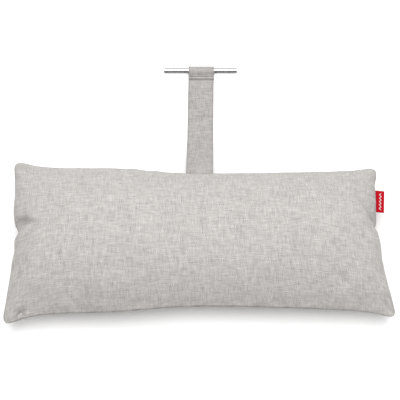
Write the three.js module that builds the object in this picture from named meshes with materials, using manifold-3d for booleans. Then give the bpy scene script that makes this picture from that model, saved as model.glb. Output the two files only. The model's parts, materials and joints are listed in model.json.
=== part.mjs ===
// Camp pillow with a hanging strap, as a three.js scene graph.
// Millimetres, +Z up. X runs along the pillow, +Y points to the strap, and the origin is the middle
// of the flat underside, on the surface that the pillow lies on.
import * as THREE from 'three';
import { mergeVertices } from 'three/addons/utils/BufferGeometryUtils.js';
import Module from 'manifold-3d';

const wasm = await Module();
wasm.setup();

// ---- Driving dimensions ------------------------------------------------------------------------

const fitGap = 0.3;              // room left between pieces that touch

// The stuffed pillow, lying on its back panel.
const pillowLength = 706;        // corner tip to corner tip
const pillowWidth = 318;         // corner tip to corner tip
const pillowThickness = 138;     // underside to top of crown
const longEdgePullIn = 26;       // how far each long edge is drawn in between its corners
const endPullIn = 15;            // how far each end is drawn in between its corners
const straightMargin = 22;       // the long edges run straight this far past each end of the zip
const edgeHeight = 58;           // seam above the floor along the long edges
const endHeight = 52;            // seam above the floor at the middle of the ends
const cornerHeight = 35;         // seam above the floor at the corner tips
const slopeRun = 33;             // flat slope of the underside next to the seam, measured across
const slopeDrop = 40;            // and how far it falls over that run
const crownFlatness = 7;         // the higher, the nearer to the ends the top stays full
const crownShoulder = 0.6;       // the lower, the steeper the top meets the end seams
const bellyFlatness = 2.4;       // the same flatness for the underside

// Layers, each measured inwards from the outside of the cover.
const coverThickness = 1.2;
const tickingDepth = 6;          // cover's outside to the inner case's outside
const tickingThickness = 0.8;
const fillDepth = tickingDepth + tickingThickness + fitGap;
const cornerDraw = 0.04;         // share by which the inner case's corners are drawn back

// Grid of every layer. All layers share it, so that their facets stay parallel.
const lengthSteps = 26;
const widthSteps = 14;
const stripSteps = 3;            // across the narrow back panel
const lengthCrowding = 0.45;     // how much closer the rows stand towards the ends, from 0 to 1
const widthCrowding = 0.35;
const slotMargin = 0.09;         // share of half the width beside the slot that holds no other column
const rowMargin = 0.01;          // share of half the length beside a slot end that holds no other row

// Zip in the underside, along the front long edge.
const zipLength = 500;           // stop to stop
const zipFromSeam = 26;          // centre of the chain from the edge seam, along the slope
const slotRoom = 1;              // slider's side to the edge of the slot in the underside
const slotTaper = 14;            // over this length the slot closes beyond each stop
const tapeWidth = 13;
const tapeThickness = 0.5;
const coilWidth = 1.9;
const coilHeight = 1.4;
const chainSplit = 1.2;          // gap between the two halves of the chain, for the slider's neck
const stopLength = 3;
const stopHeight = 1.9;
const sliderLength = 11;
const sliderPlate = 1;
const sliderWall = 0.7;
const neckWidth = 0.6;
const neckLength = 3;
const bridgeSpan = 6.6;
const bridgeWidth = 2.4;
const bridgeBar = 0.8;
const pullLength = 24;
const pullWidth = 7;
const pullThickness = 1.2;
const pullWindow = 5.4;

// Strap, sewn into the back long edge, and the rod in its loop.
const strapWidth = 52;
const strapCentre = 5;           // along X: it sits a little to the right of the middle
const strapThickness = 1.8;
const strapReach = 118;          // from the first fold to where the strap meets the floor
const strapRun = 148;            // from there to the rod's axis
const strapTongue = 5;           // depth sewn inside the seam
const strapStub = 4;             // length that stands out of the seam before the first fold
const foldClearance = 0.5;       // between a strap's round end and the end it turns against
const rodDiameter = 8;
const rodLength = 150;
const loopSlack = 2.2;           // room beyond the rod inside the loop
const loopStitch = 13;           // rod axis to the seam that closes the loop
const flapLength = 20;           // rod axis to the end of the turned-over flap

// Woven label in the end seam.
const labelLength = 46;
const labelReach = 12;
const labelThickness = 1;
const labelCentre = 80;          // along Y

// ---- Materials ---------------------------------------------------------------------------------

function material(color, roughness, metalness) {
  return new THREE.MeshStandardMaterial({ color, roughness, metalness });
}

const canvas = material(0xcfc9c2, 0.9, 0);
const ticking = material(0xf2f0ea, 0.9, 0);
const fibre = material(0xfafafa, 1, 0);
const zipTape = material(0xb9b3ab, 0.85, 0);
const zipCoil = material(0xa8a29a, 0.5, 0);
const zipMetal = material(0x9a9a98, 0.35, 1);
const polishedSteel = material(0xd8dadc, 0.15, 1);
const labelWeave = material(0xc51230, 0.7, 0);

// ---- Mesh helpers ------------------------------------------------------------------------------

const group = new THREE.Group();

function addMesh(name, geometry, finish, parent = group) {
  const mesh = new THREE.Mesh(geometry, finish);
  mesh.name = name;
  parent.add(mesh);
  return mesh;
}

function toSolid(geometry) {
  const bare = geometry.index ? geometry.toNonIndexed() : geometry.clone();
  bare.deleteAttribute('normal');
  bare.deleteAttribute('uv');
  const merged = mergeVertices(bare, 1e-4);
  return new wasm.Manifold(new wasm.Mesh({
    numProp: 3,
    vertProperties: new Float32Array(merged.attributes.position.array),
    triVerts: new Uint32Array(merged.index.array),
  }));
}

function toGeometry(solid) {
  const mesh = solid.getMesh();
  const geometry = new THREE.BufferGeometry();
  geometry.setAttribute('position', new THREE.BufferAttribute(mesh.vertProperties, 3));
  geometry.setIndex(new THREE.BufferAttribute(mesh.triVerts, 1));
  geometry.computeVertexNormals();
  return geometry;
}

// A box between two corners.
function boxBetween(low, high) {
  const size = high.map((value, axis) => value - low[axis]);
  const centre = high.map((value, axis) => (value + low[axis]) / 2);
  return new THREE.BoxGeometry(...size).translate(...centre);
}

function joinBoxes(corners) {
  const solids = corners.map(([low, high]) => toSolid(boxBetween(low, high)));
  return solids.reduce((sum, solid) => sum.add(solid));
}

// A profile drawn in (y, z), carried along X and centred on it.
function extrudeAlongX(shape, width) {
  const options = { depth: width, bevelEnabled: false, curveSegments: 10 };
  const geometry = new THREE.ExtrudeGeometry(shape, options);
  geometry.translate(0, 0, -width / 2);
  geometry.applyMatrix4(new THREE.Matrix4().makeBasis(
    new THREE.Vector3(0, 1, 0), new THREE.Vector3(0, 0, 1), new THREE.Vector3(1, 0, 0)));
  return geometry;
}

// ---- The shape of the pillow -------------------------------------------------------------------

const edgeHalf = pillowWidth / 2 - longEdgePullIn;    // half the width where the long edges run straight
const crown = pillowThickness - edgeHeight;

// The zip's line across the pillow, as a share of half its width, and half the pillow's length there.
const slopeLength = Math.hypot(slopeRun, slopeDrop);
const zipV = slopeRun * zipFromSeam / slopeLength / edgeHalf - 1;
const zipHalfLength = pillowLength / 2 - endPullIn * (1 - zipV ** 2);
const chainEnd = zipLength / 2;
const straightShare = (chainEnd + stopLength + straightMargin) / zipHalfLength;

// How far a place is from the straight middle of the pillow to its ends, from 0 to 1.
function pastStraight(u) {
  return Math.max(0, (Math.abs(u) - straightShare) / (1 - straightShare));
}

function endShare(u) {
  const t = pastStraight(u);
  return t * t * (3 - 2 * t);
}

// Height of the seam plane that the two faces meet in.
function seamHeight(u, v) {
  const end = endShare(u);
  return edgeHeight - end * ((edgeHeight - endHeight) + (endHeight - cornerHeight) * Math.abs(v) ** 3);
}

// Top face: a circular arc across the pillow, 1 in the middle and 0 at the seam.
function crownAcross(v) {
  const radius = (edgeHalf ** 2 + crown ** 2) / (2 * crown);
  return (Math.sqrt(radius ** 2 - (edgeHalf * v) ** 2) - (radius - crown)) / crown;
}

function crownAlong(u) {
  return (1 - Math.abs(u) ** crownFlatness) ** crownShoulder;
}

// Underside: a straight slope next to the seam, then a curve that runs out flat on the floor.
// 0 at the seam and 1 where it lies on the floor.
function bellyAcross(v) {
  const a = Math.abs(v);
  const slopeEnd = 1 - slopeRun / edgeHalf;
  const slope = slopeDrop / edgeHeight / (1 - slopeEnd);
  const rest = 1 - slopeDrop / edgeHeight;
  const flatEnd = slopeEnd - 2 * rest / slope;
  if (a >= slopeEnd) return slope * (1 - a);
  if (a <= flatEnd) return 1;
  return 1 - rest * ((a - flatEnd) / (slopeEnd - flatEnd)) ** 2;
}

function bellyAlong(u) {
  return 1 - pastStraight(u) ** bellyFlatness;
}

// A point of the pillow's face: u and v run from -1 to 1, side is +1 for the top face and -1 for the
// underside, and inset is the depth below the outside of the cover. An inner layer's seam lies on
// the outer seam's surface, and its corners are drawn back, so that layers stay apart everywhere.
function pillowPoint(u, v, side, inset) {
  const drawn = inset > coverThickness ? 1 - cornerDraw * (u * v) ** 4 : 1;
  const along = u * drawn * (1 - inset / (pillowLength / 2));
  const across = v * drawn * (1 - inset / edgeHalf);
  const halfLength = pillowLength / 2 - endPullIn * (1 - across ** 2);
  const halfWidth = edgeHalf + longEdgePullIn * endShare(along);
  const seam = seamHeight(along, across);
  const share = side > 0 ? crownAcross(v) * crownAlong(u) : bellyAcross(v) * bellyAlong(u);
  const rise = (side > 0 ? crown - inset : inset - seam) * share;
  return [along * halfLength, across * halfWidth, seam + rise + side * (1 - share) * fitGap / 2];
}

// Even steps, drawn closer together towards both ends.
function spread(count, crowding) {
  return Array.from({ length: count + 1 }, (_, i) => {
    const t = 2 * i / count - 1;
    return (1 - crowding) * t + crowding * Math.sin(t * Math.PI / 2);
  });
}

// A closed solid between two grids of points with the same rows and columns. The outer grid shows
// its front when its rows run along +u and its columns along +v with the normal up.
function solidBetweenGrids(outer, inner, flip) {
  const rows = outer.length;
  const columns = outer[0].length;
  const positions = [...outer.flat(), ...inner.flat()].flat();
  const id = (layer, row, column) => (layer * rows + row) * columns + column;
  const index = [];
  const quad = (a, b, c, d) => index.push(...(flip ? [a, c, b, a, d, c] : [a, b, c, a, c, d]));
  for (let r = 0; r + 1 < rows; r += 1) {
    for (let c = 0; c + 1 < columns; c += 1) {
      quad(id(0, r, c), id(0, r + 1, c), id(0, r + 1, c + 1), id(0, r, c + 1));
      quad(id(1, r, c), id(1, r, c + 1), id(1, r + 1, c + 1), id(1, r + 1, c));
    }
  }
  for (let r = 0; r + 1 < rows; r += 1) {
    const c = columns - 1;
    quad(id(0, r, 0), id(1, r, 0), id(1, r + 1, 0), id(0, r + 1, 0));
    quad(id(0, r + 1, c), id(1, r + 1, c), id(1, r, c), id(0, r, c));
  }
  for (let c = 0; c + 1 < columns; c += 1) {
    const r = rows - 1;
    quad(id(0, 0, c + 1), id(1, 0, c + 1), id(1, 0, c), id(0, 0, c));
    quad(id(0, r, c), id(1, r, c), id(1, r, c + 1), id(0, r, c + 1));
  }
  const geometry = new THREE.BufferGeometry();
  geometry.setAttribute('position', new THREE.Float32BufferAttribute(positions, 3));
  geometry.setIndex(index);
  geometry.computeVertexNormals();
  return geometry;
}

// ---- Where the zip lies ------------------------------------------------------------------------

const zipCentre = new THREE.Vector3(
  0, zipV * edgeHalf, edgeHeight - zipFromSeam * slopeDrop / slopeLength);
const zipAcross = new THREE.Vector3(0, -slopeRun, slopeDrop).normalize();   // towards the seam
const zipOutward = new THREE.Vector3(0, -slopeDrop, -slopeRun).normalize();

// Cross-section of the chain, measured from its centre line and from the outside of the cover.
const tapeTop = -(coverThickness + 2 * fitGap);
const tapeBottom = tapeTop - tapeThickness;
const coilBottom = tapeTop + fitGap;
const coilTop = coilBottom + coilHeight;
const chainHalf = chainSplit / 2;
const coilOuter = chainHalf + coilWidth;
const flangeInner = coilOuter + fitGap;
const flangeOuter = flangeInner + sliderWall;

// Half of the slot's width at a place along X, as a share of v.
function slotHalf(u) {
  const beyond = Math.abs(u) * zipHalfLength - (chainEnd + stopLength);
  const open = THREE.MathUtils.clamp(1 - beyond / slotTaper, 0, 1);
  const halfGap = THREE.MathUtils.lerp(fitGap, flangeOuter + slotRoom, open);
  return halfGap * slopeRun / slopeLength / edgeHalf;
}

function columnsBetween(low, high, count) {
  return Array.from({ length: count + 1 }, (_, i) => THREE.MathUtils.lerp(low, high, i / count));
}

// ---- Cover, inner case and filling -------------------------------------------------------------

// Rows of the grid: even steps, with rows of their own where the zip's slot starts to close and
// where it is shut.
const slotEnds = [chainEnd + stopLength, chainEnd + stopLength + slotTaper].map((x) => x / zipHalfLength);
const nearSlotEnd = (u) => slotEnds.some((end) => Math.abs(Math.abs(u) - end) < rowMargin);
const lengthRows = spread(lengthSteps, lengthCrowding)
  .filter((u) => !nearSlotEnd(u))
  .concat(slotEnds, slotEnds.map((end) => -end))
  .sort((a, b) => a - b);

// One layer of one face: rows along u, each with the columns that columnsOf(u) gives.
function layer(side, outerInset, innerInset, columnsOf) {
  const grid = (inset) => lengthRows.map(
    (u) => columnsOf(u).map((v) => pillowPoint(u, v, side, inset)));
  return solidBetweenGrids(grid(outerInset), grid(innerInset), side < 0);
}

const wholeWidth = spread(widthSteps, widthCrowding);

const strapLeft = strapCentre - strapWidth / 2;
const strapRight = strapCentre + strapWidth / 2;

// Room cut in both panels for the strap's tongue, which is sewn between them.
const tongueCut = toSolid(boxBetween(
  [strapLeft - fitGap, edgeHalf - strapTongue - fitGap, edgeHeight - strapThickness / 2 - fitGap],
  [strapRight + fitGap, edgeHalf + strapStub, edgeHeight + strapThickness / 2 + fitGap]));

function frontPanel() {
  return toGeometry(toSolid(layer(1, 0, coverThickness, () => wholeWidth)).subtract(tongueCut));
}

// The larger back panel, from the zip to the strap edge.
function backPanelMain() {
  const solid = toSolid(layer(-1, 0, coverThickness,
    (u) => {
      const start = zipV + slotHalf(u);
      const rest = wholeWidth.filter((v) => v > zipV + slotMargin);
      return [start, ...rest];
    }));
  return toGeometry(solid.subtract(tongueCut));
}

// The narrow back panel between the zip and the front edge.
function backPanelStrip() {
  return layer(-1, 0, coverThickness, (u) => columnsBetween(-1, zipV - slotHalf(u), stripSteps));
}

function tickingFront() {
  return layer(1, tickingDepth, tickingDepth + tickingThickness, () => wholeWidth);
}

function tickingBack() {
  return layer(-1, tickingDepth, tickingDepth + tickingThickness, () => wholeWidth);
}

// The filling takes both faces at once, so its two grids are the top and the underside.
function fibreFill() {
  const face = (side) => lengthRows.map(
    (u) => wholeWidth.map((v) => pillowPoint(u, v, side, fillDepth)));
  return solidBetweenGrids(face(1), face(-1), false);
}

addMesh('front_panel', frontPanel(), canvas);
addMesh('back_panel_main', backPanelMain(), canvas);
addMesh('back_panel_strip', backPanelStrip(), canvas);
addMesh('ticking_front', tickingFront(), ticking);
addMesh('ticking_back', tickingBack(), ticking);
addMesh('fibre_fill', fibreFill(), fibre);

// ---- Zip ---------------------------------------------------------------------------------------

// Local frame of the chain: X along it, Y towards the seam, Z out of the pillow, and Z = 0 at the
// outside of the cover.
const zip = new THREE.Group();
zip.applyMatrix4(new THREE.Matrix4()
  .makeBasis(new THREE.Vector3(1, 0, 0), zipAcross, zipOutward)
  .setPosition(zipCentre));
group.add(zip);

function tapeHalf(sign) {
  const inner = sign * chainHalf;
  const outer = sign * (chainHalf + tapeWidth);
  const end = chainEnd + stopLength;
  return boxBetween([-end, Math.min(inner, outer), tapeBottom], [end, Math.max(inner, outer), tapeTop]);
}

// Half of the coil: a bar with its outer edge rounded off.
function coilHalf(sign) {
  const profile = new THREE.Shape();
  profile.moveTo(sign * chainHalf, coilBottom);
  profile.lineTo(sign * (coilOuter - coilHeight / 2), coilBottom);
  const start = -Math.PI / 2;
  const centre = sign * (coilOuter - coilHeight / 2);
  profile.absarc(centre, coilBottom + coilHeight / 2, coilHeight / 2, start, -start, sign < 0);
  profile.lineTo(sign * chainHalf, coilTop);
  profile.closePath();
  return extrudeAlongX(profile, 2 * chainEnd - 2 * fitGap);
}

// A metal stop clamped over the ends of both halves of the chain.
function chainStop(sign) {
  const near = sign * chainEnd;
  const far = sign * (chainEnd + stopLength);
  return boxBetween(
    [Math.min(near, far), -coilOuter, coilBottom],
    [Math.max(near, far), coilOuter, coilBottom + stopHeight]);
}

addMesh('zip_tape_upper', tapeHalf(1), zipTape, zip);
addMesh('zip_tape_lower', tapeHalf(-1), zipTape, zip);
addMesh('zip_coil_upper', coilHalf(1), zipCoil, zip);
addMesh('zip_coil_lower', coilHalf(-1), zipCoil, zip);
addMesh('zip_closed_stop', chainStop(1), zipMetal, zip);
addMesh('zip_open_stop', chainStop(-1), zipMetal, zip);

// Slider: a plate above and one below the chain, joined by the neck between its halves, with a
// flange down each side and a bridge on top that holds the pull.
const sliderX = chainEnd - fitGap - sliderLength / 2;
const plateBottom = coilTop + fitGap;
const plateTop = plateBottom + sliderPlate;
const lowerPlateTop = tapeBottom - fitGap;
const pivotHeight = plateTop + fitGap + pullThickness / 2;
const bridgeBottom = pivotHeight + pullThickness / Math.SQRT2 + fitGap;

function zipSlider() {
  const half = sliderLength / 2;
  const boxes = [
    [[-half, -flangeOuter, plateBottom], [half, flangeOuter, plateTop]],
    [[-half, -flangeOuter, lowerPlateTop - sliderPlate], [half, flangeOuter, lowerPlateTop]],
    [[-neckLength / 2, -neckWidth / 2, lowerPlateTop - sliderPlate / 2],
      [neckLength / 2, neckWidth / 2, plateBottom + sliderPlate / 2]],
    [[-bridgeSpan / 2 - bridgeBar, -bridgeWidth / 2, bridgeBottom],
      [bridgeSpan / 2 + bridgeBar, bridgeWidth / 2, bridgeBottom + bridgeBar]],
  ];
  for (const sign of [-1, 1]) {
    const sides = [sign * flangeInner, sign * flangeOuter].sort((a, b) => a - b);
    boxes.push([[-half, sides[0], tapeTop + fitGap], [half, sides[1], plateTop]]);
    const legs = [sign * bridgeSpan / 2, sign * (bridgeSpan / 2 + bridgeBar)].sort((a, b) => a - b);
    boxes.push([[legs[0], -bridgeWidth / 2, plateTop - sliderPlate / 2],
      [legs[1], bridgeWidth / 2, bridgeBottom + bridgeBar]]);
  }
  return toGeometry(joinBoxes(boxes)).translate(sliderX, 0, 0);
}

// Pull tab: its end bar lies under the slider's bridge, and the window behind the bar lets the
// bridge through as the tab turns over.
function zipPull() {
  const bar = pullThickness / 2;
  const outline = new THREE.Shape();
  const halfWide = pullWidth / 2;
  const tip = -pullLength + halfWide;
  outline.moveTo(bar, -halfWide);
  outline.lineTo(bar, halfWide);
  outline.lineTo(tip, halfWide);
  outline.absarc(tip, 0, halfWide, Math.PI / 2, 3 * Math.PI / 2, false);
  outline.closePath();
  const window = new THREE.Path();
  const windowHalf = bridgeWidth / 2 + fitGap;
  window.moveTo(-bar, -windowHalf);
  window.lineTo(-bar - pullWindow, -windowHalf);
  window.lineTo(-bar - pullWindow, windowHalf);
  window.lineTo(-bar, windowHalf);
  window.closePath();
  outline.holes.push(window);
  const options = { depth: pullThickness, bevelEnabled: false, curveSegments: 12 };
  const geometry = new THREE.ExtrudeGeometry(outline, options);
  return geometry.translate(sliderX, 0, pivotHeight - pullThickness / 2);
}

addMesh('zip_slider', zipSlider(), zipMetal, zip);
addMesh('zip_pull', zipPull(), zipMetal, zip);

// ---- Strap and rod -----------------------------------------------------------------------------

const foldY = edgeHalf + strapStub;
const halfStrap = strapThickness / 2;
const floorY = foldY + Math.sqrt(strapReach ** 2 - (edgeHeight - halfStrap) ** 2);
const dropAngle = Math.atan2(edgeHeight - halfStrap, floorY - foldY);
const squareEnd = halfStrap + foldClearance;    // a strap stops this far short of a fold's axis

// The end of the strap that is sewn between the front and back panels.
addMesh('strap_base', boxBetween(
  [strapLeft, edgeHalf - strapTongue, edgeHeight - halfStrap],
  [strapRight, foldY - squareEnd, edgeHeight + halfStrap]), canvas);

// A flat strap whose near end is round about the origin and whose far end is square.
function strapLength(length) {
  const profile = new THREE.Shape();
  profile.moveTo(length, -halfStrap);
  profile.lineTo(length, halfStrap);
  profile.absarc(0, 0, halfStrap, Math.PI / 2, 3 * Math.PI / 2, false);
  profile.closePath();
  return extrudeAlongX(profile, strapWidth);
}

const strapLower = addMesh('strap_lower', strapLength(strapReach - squareEnd), canvas);
strapLower.position.set(strapCentre, foldY, edgeHeight);
strapLower.rotation.x = -dropAngle;

// The strap on the floor, turned over the rod at its end and sewn down to itself as a flap.
const rodRadius = rodDiameter / 2;
const rodCentre = strapThickness + fitGap + rodRadius;    // above the floor
const loopInner = rodRadius + fitGap;
const loopOuter = loopInner + strapThickness;

const pocketReach = loopStitch - 2 * strapThickness;      // rod axis to the pocket's pointed end
const flapSlope = 2 * Math.atan2(loopInner, pocketReach); // tangent to the rod from that end

// The flap's path over the rod: a slope that meets the rod, an arc over it, and round the end.
function overRod(path, radius) {
  path.absarc(strapRun, rodCentre, radius, Math.PI / 2, Math.PI / 2 + flapSlope, false);
}

function strapUpper() {
  const top = 2 * strapThickness;
  const profile = new THREE.Shape();
  profile.absarc(strapRun + loopSlack, rodCentre, loopOuter, -Math.PI / 2, Math.PI / 2, false);
  overRod(profile, loopOuter);
  const slopeFoot = rodCentre + loopOuter * Math.cos(flapSlope) - top;
  profile.lineTo(strapRun - loopOuter * Math.sin(flapSlope) - slopeFoot / Math.tan(flapSlope), top);
  profile.lineTo(strapRun - flapLength, top);
  profile.lineTo(strapRun - flapLength, strapThickness);
  profile.absarc(0, halfStrap, halfStrap, Math.PI / 2, 3 * Math.PI / 2, false);
  profile.closePath();
  const pocket = new THREE.Path();
  pocket.absarc(strapRun + loopSlack, rodCentre, loopInner, -Math.PI / 2, Math.PI / 2, false);
  overRod(pocket, loopInner);
  pocket.lineTo(strapRun - pocketReach, strapThickness + fitGap / 2);
  pocket.closePath();
  profile.holes.push(pocket);
  return extrudeAlongX(profile, strapWidth);
}

addMesh('strap_upper', strapUpper(), canvas).position.set(strapCentre, floorY, 0);

// The rod lies across in the loop, as a weight and a toggle.
const rodShape = new THREE.CylinderGeometry(rodRadius, rodRadius, rodLength, 32);
const rod = addMesh('toggle_rod', rodShape, polishedSteel);
rod.rotation.z = Math.PI / 2;
rod.position.set(strapCentre, floorY + strapRun, rodCentre);

// ---- Label -------------------------------------------------------------------------------------

// A folded woven label in the seam of the right end. It follows the straight line between the two
// places where its ends leave the seam.
function labelRoot(y) {
  const v = y / (pillowWidth / 2);
  const [x, across, z] = pillowPoint(1, v, 1, 0);
  return new THREE.Vector3(x + 2 * fitGap + labelThickness / 2, across, z);
}

const labelEnds = [labelRoot(labelCentre - labelLength / 2), labelRoot(labelCentre + labelLength / 2)];
const labelAlong = labelEnds[1].clone().sub(labelEnds[0]).normalize();
const labelOut = new THREE.Vector3(1, 0, 0).projectOnPlane(labelAlong).normalize();

function sideLabel() {
  const profile = new THREE.Shape();
  const half = labelThickness / 2;
  profile.moveTo(labelReach, -half);
  profile.lineTo(labelReach, half);
  profile.absarc(0, 0, half, Math.PI / 2, 3 * Math.PI / 2, false);
  profile.closePath();
  const options = { depth: labelLength, bevelEnabled: false, curveSegments: 6 };
  return new THREE.ExtrudeGeometry(profile, options);
}

const label = new THREE.Group();
label.applyMatrix4(new THREE.Matrix4()
  .makeBasis(labelOut, labelAlong.clone().cross(labelOut), labelAlong)
  .setPosition(labelEnds[0]));
group.add(label);
addMesh('side_label', sideLabel(), labelWeave, label);

export default group;
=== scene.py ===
# %% [markdown]
# # A camp pillow with a hanging strap
#
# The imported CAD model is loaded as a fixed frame. It says how big the pillow is, where the strap
# folds and where the zip's slider runs. Everything that is seen is made here, around that frame.
# All sizes are in metres. X runs along the pillow, +Y points to the strap and +Z is up.

# %% Load the frame
import json
import math

import bpy
import numpy as np
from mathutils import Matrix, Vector


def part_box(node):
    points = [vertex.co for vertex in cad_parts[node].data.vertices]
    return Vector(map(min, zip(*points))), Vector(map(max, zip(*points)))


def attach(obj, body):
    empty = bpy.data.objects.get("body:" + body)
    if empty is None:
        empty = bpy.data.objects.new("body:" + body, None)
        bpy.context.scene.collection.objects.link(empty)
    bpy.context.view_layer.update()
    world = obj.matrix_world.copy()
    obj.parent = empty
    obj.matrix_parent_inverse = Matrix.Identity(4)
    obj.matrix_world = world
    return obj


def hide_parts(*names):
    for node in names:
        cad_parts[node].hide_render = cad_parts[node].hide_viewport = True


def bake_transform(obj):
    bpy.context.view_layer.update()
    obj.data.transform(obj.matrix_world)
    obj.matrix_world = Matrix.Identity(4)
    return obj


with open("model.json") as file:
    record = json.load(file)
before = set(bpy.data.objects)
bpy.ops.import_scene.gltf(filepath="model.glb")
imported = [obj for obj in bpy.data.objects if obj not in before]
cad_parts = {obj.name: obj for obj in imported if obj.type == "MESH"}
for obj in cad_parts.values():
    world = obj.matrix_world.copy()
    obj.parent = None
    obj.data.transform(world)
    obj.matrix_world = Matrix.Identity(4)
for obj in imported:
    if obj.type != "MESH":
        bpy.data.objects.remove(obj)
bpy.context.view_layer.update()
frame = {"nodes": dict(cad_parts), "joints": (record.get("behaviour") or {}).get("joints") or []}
MM = 0.001

# %% [markdown]
# ## Camera, floor and light
#
# The pillow is seen from in front and well above, so that its face fills the view. A long lens from
# two metres away keeps its edges nearly parallel. One big softbox hangs nearly straight overhead, and
# an even sky fills the shadows. So the face is lit evenly and falls off towards its seams, on a floor
# so bright that it nearly disappears.

# %% Camera
FOCAL_LENGTH = 92.25
SENSOR_WIDTH = 36
CAMERA_TARGET = Vector((0.004, 0.103, 0.0))
CAMERA_DISTANCE = 2.008
CAMERA_ELEVATION = math.radians(68)


def add_camera():
    """Aims a camera at the target, from straight in front and above."""
    data = bpy.data.cameras.new("camera")
    data.lens = FOCAL_LENGTH
    data.sensor_width = SENSOR_WIDTH
    camera = bpy.data.objects.new("camera", data)
    away = Vector((0, -math.cos(CAMERA_ELEVATION), math.sin(CAMERA_ELEVATION)))
    camera.location = CAMERA_TARGET + away * CAMERA_DISTANCE
    camera.rotation_euler = away.to_track_quat("Z", "Y").to_euler()
    bpy.context.scene.collection.objects.link(camera)
    bpy.context.scene.camera = camera


add_camera()
print("camera: %.2f m away, %.0f degrees up" % (CAMERA_DISTANCE, math.degrees(CAMERA_ELEVATION)))

# %% Light
SKY_STRENGTH = 0.66
SOFTBOX_POWER = 76
SOFTBOX_SIZE = 2.6
SOFTBOX_PLACE = (0.05, 0.42, 2.5)


def add_area_light(name, place, size, power):
    """A square soft light at a place, facing the pillow."""
    data = bpy.data.lights.new(name, "AREA")
    data.shape = "SQUARE"
    data.size = size
    data.energy = power
    light = bpy.data.objects.new(name, data)
    light.location = place
    light.rotation_euler = Vector(place).to_track_quat("Z", "Y").to_euler()
    bpy.context.scene.collection.objects.link(light)


def set_sky(strength):
    """An even white sky, which fills the shadows."""
    sky = bpy.data.worlds.new("studio_sky")
    sky.use_nodes = True
    background = sky.node_tree.nodes["Background"]
    background.inputs["Color"].default_value = (1, 1, 1, 1)
    background.inputs["Strength"].default_value = strength
    bpy.context.scene.world = sky


set_sky(SKY_STRENGTH)
add_area_light("softbox", SOFTBOX_PLACE, SOFTBOX_SIZE, SOFTBOX_POWER)
bpy.context.scene.view_settings.view_transform = "Standard"
print("light: sky", SKY_STRENGTH, "and a softbox of %.0f W" % SOFTBOX_POWER)

# %% [markdown]
# ## Node helpers
#
# Every finish is a small graph of shader nodes. Writing one by hand takes a line for each link, so
# this helper adds a node, sets its values, and joins whatever sockets it is given.

# %% Node helper
class Graph:
    """Adds nodes to a material's or a group's node tree."""

    def __init__(self, tree):
        self.tree = tree

    def put(self, socket, value):
        """Links a socket to another, or sets it to a plain value."""
        if isinstance(value, bpy.types.NodeSocket):
            self.tree.links.new(value, socket)
        else:
            socket.default_value = value

    def node(self, kind, inputs=None, **settings):
        """A node of a kind, with its settings and its inputs by name or number."""
        made = self.tree.nodes.new(kind)
        for name, value in settings.items():
            setattr(made, name, value)
        for name, value in (inputs or {}).items():
            self.put(made.inputs[name], value)
        return made

    def math(self, operation, *values):
        """The result of one sum."""
        made = self.node("ShaderNodeMath", operation=operation)
        for socket, value in zip(made.inputs, values):
            self.put(socket, value)
        return made.outputs[0]

    def mix(self, share, low, high):
        """A colour between two colours."""
        made = self.node("ShaderNodeMix", data_type="RGBA")
        self.put(made.inputs[0], share)
        self.put(made.inputs[6], low)
        self.put(made.inputs[7], high)
        return made.outputs[2]

    def shaded(self, colour, shade):
        """A colour made lighter or darker by a factor."""
        made = self.node("ShaderNodeVectorMath", {0: colour, "Scale": shade}, operation="SCALE")
        return made.outputs[0]

    def vector(self, x, y, z):
        """Three numbers as a vector."""
        return self.node("ShaderNodeCombineXYZ", {0: x, 1: y, 2: z}).outputs[0]

    def noise(self, place, scale, detail=2.0):
        """Smooth noise, from about 0.25 to 0.75."""
        made = self.node("ShaderNodeTexNoise", {"Vector": place, "Scale": scale, "Detail": detail})
        return made.outputs[0]


def new_group(name, inputs, outputs):
    """An empty node group with named inputs and outputs. Returns its tree, graph and end nodes."""
    tree = bpy.data.node_groups.new(name, "ShaderNodeTree")
    for label, kind, default in inputs:
        socket = tree.interface.new_socket(label, in_out="INPUT", socket_type=kind)
        if default is not None:
            socket.default_value = default
    for label, kind in outputs:
        tree.interface.new_socket(label, in_out="OUTPUT", socket_type=kind)
    graph = Graph(tree)
    return tree, graph, graph.node("NodeGroupInput"), graph.node("NodeGroupOutput")


def new_material(name, **constants):
    """A material with its Principled shader's plain values set. Returns it with its graph."""
    material = bpy.data.materials.new(name)
    material.use_nodes = True
    shader = material.node_tree.nodes["Principled BSDF"]
    for label, value in constants.items():
        shader.inputs[label.replace("_", " ")].default_value = value
    return material, Graph(material.node_tree), shader


def set_bump(graph, shader, height, distance, strength=1.0):
    """Raises a finish by a height, which is worth a distance in metres where it is 1."""
    bump = graph.node("ShaderNodeBump", {"Height": height, "Distance": distance, "Strength": strength})
    graph.put(shader.inputs["Normal"], bump.outputs[0])


# %% [markdown]
# ## The weave
#
# A plain weave is a chequerboard: in every other cell the lengthwise yarn is on top, and between them
# the crosswise one. The sign of one sine wave times another draws that board, and each wave on its
# own gives the round back of a yarn. Melange yarn is spun from light and dark fibre, so its shade
# wanders along its length. Every yarn gets its own streak of noise, stretched along the way it runs.

# %% Weave group
FLOAT = "NodeSocketFloat"
VECTOR = "NodeSocketVector"
STREAK_STRETCH = 0.10
YARN_SHUFFLE = 7.31
SLUB_RATE = 0.42
SLUB_DEPTH = 0.06
MEAN_HEIGHT = 0.64
PAINTED_GAP_SHADE = 0.22


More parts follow.
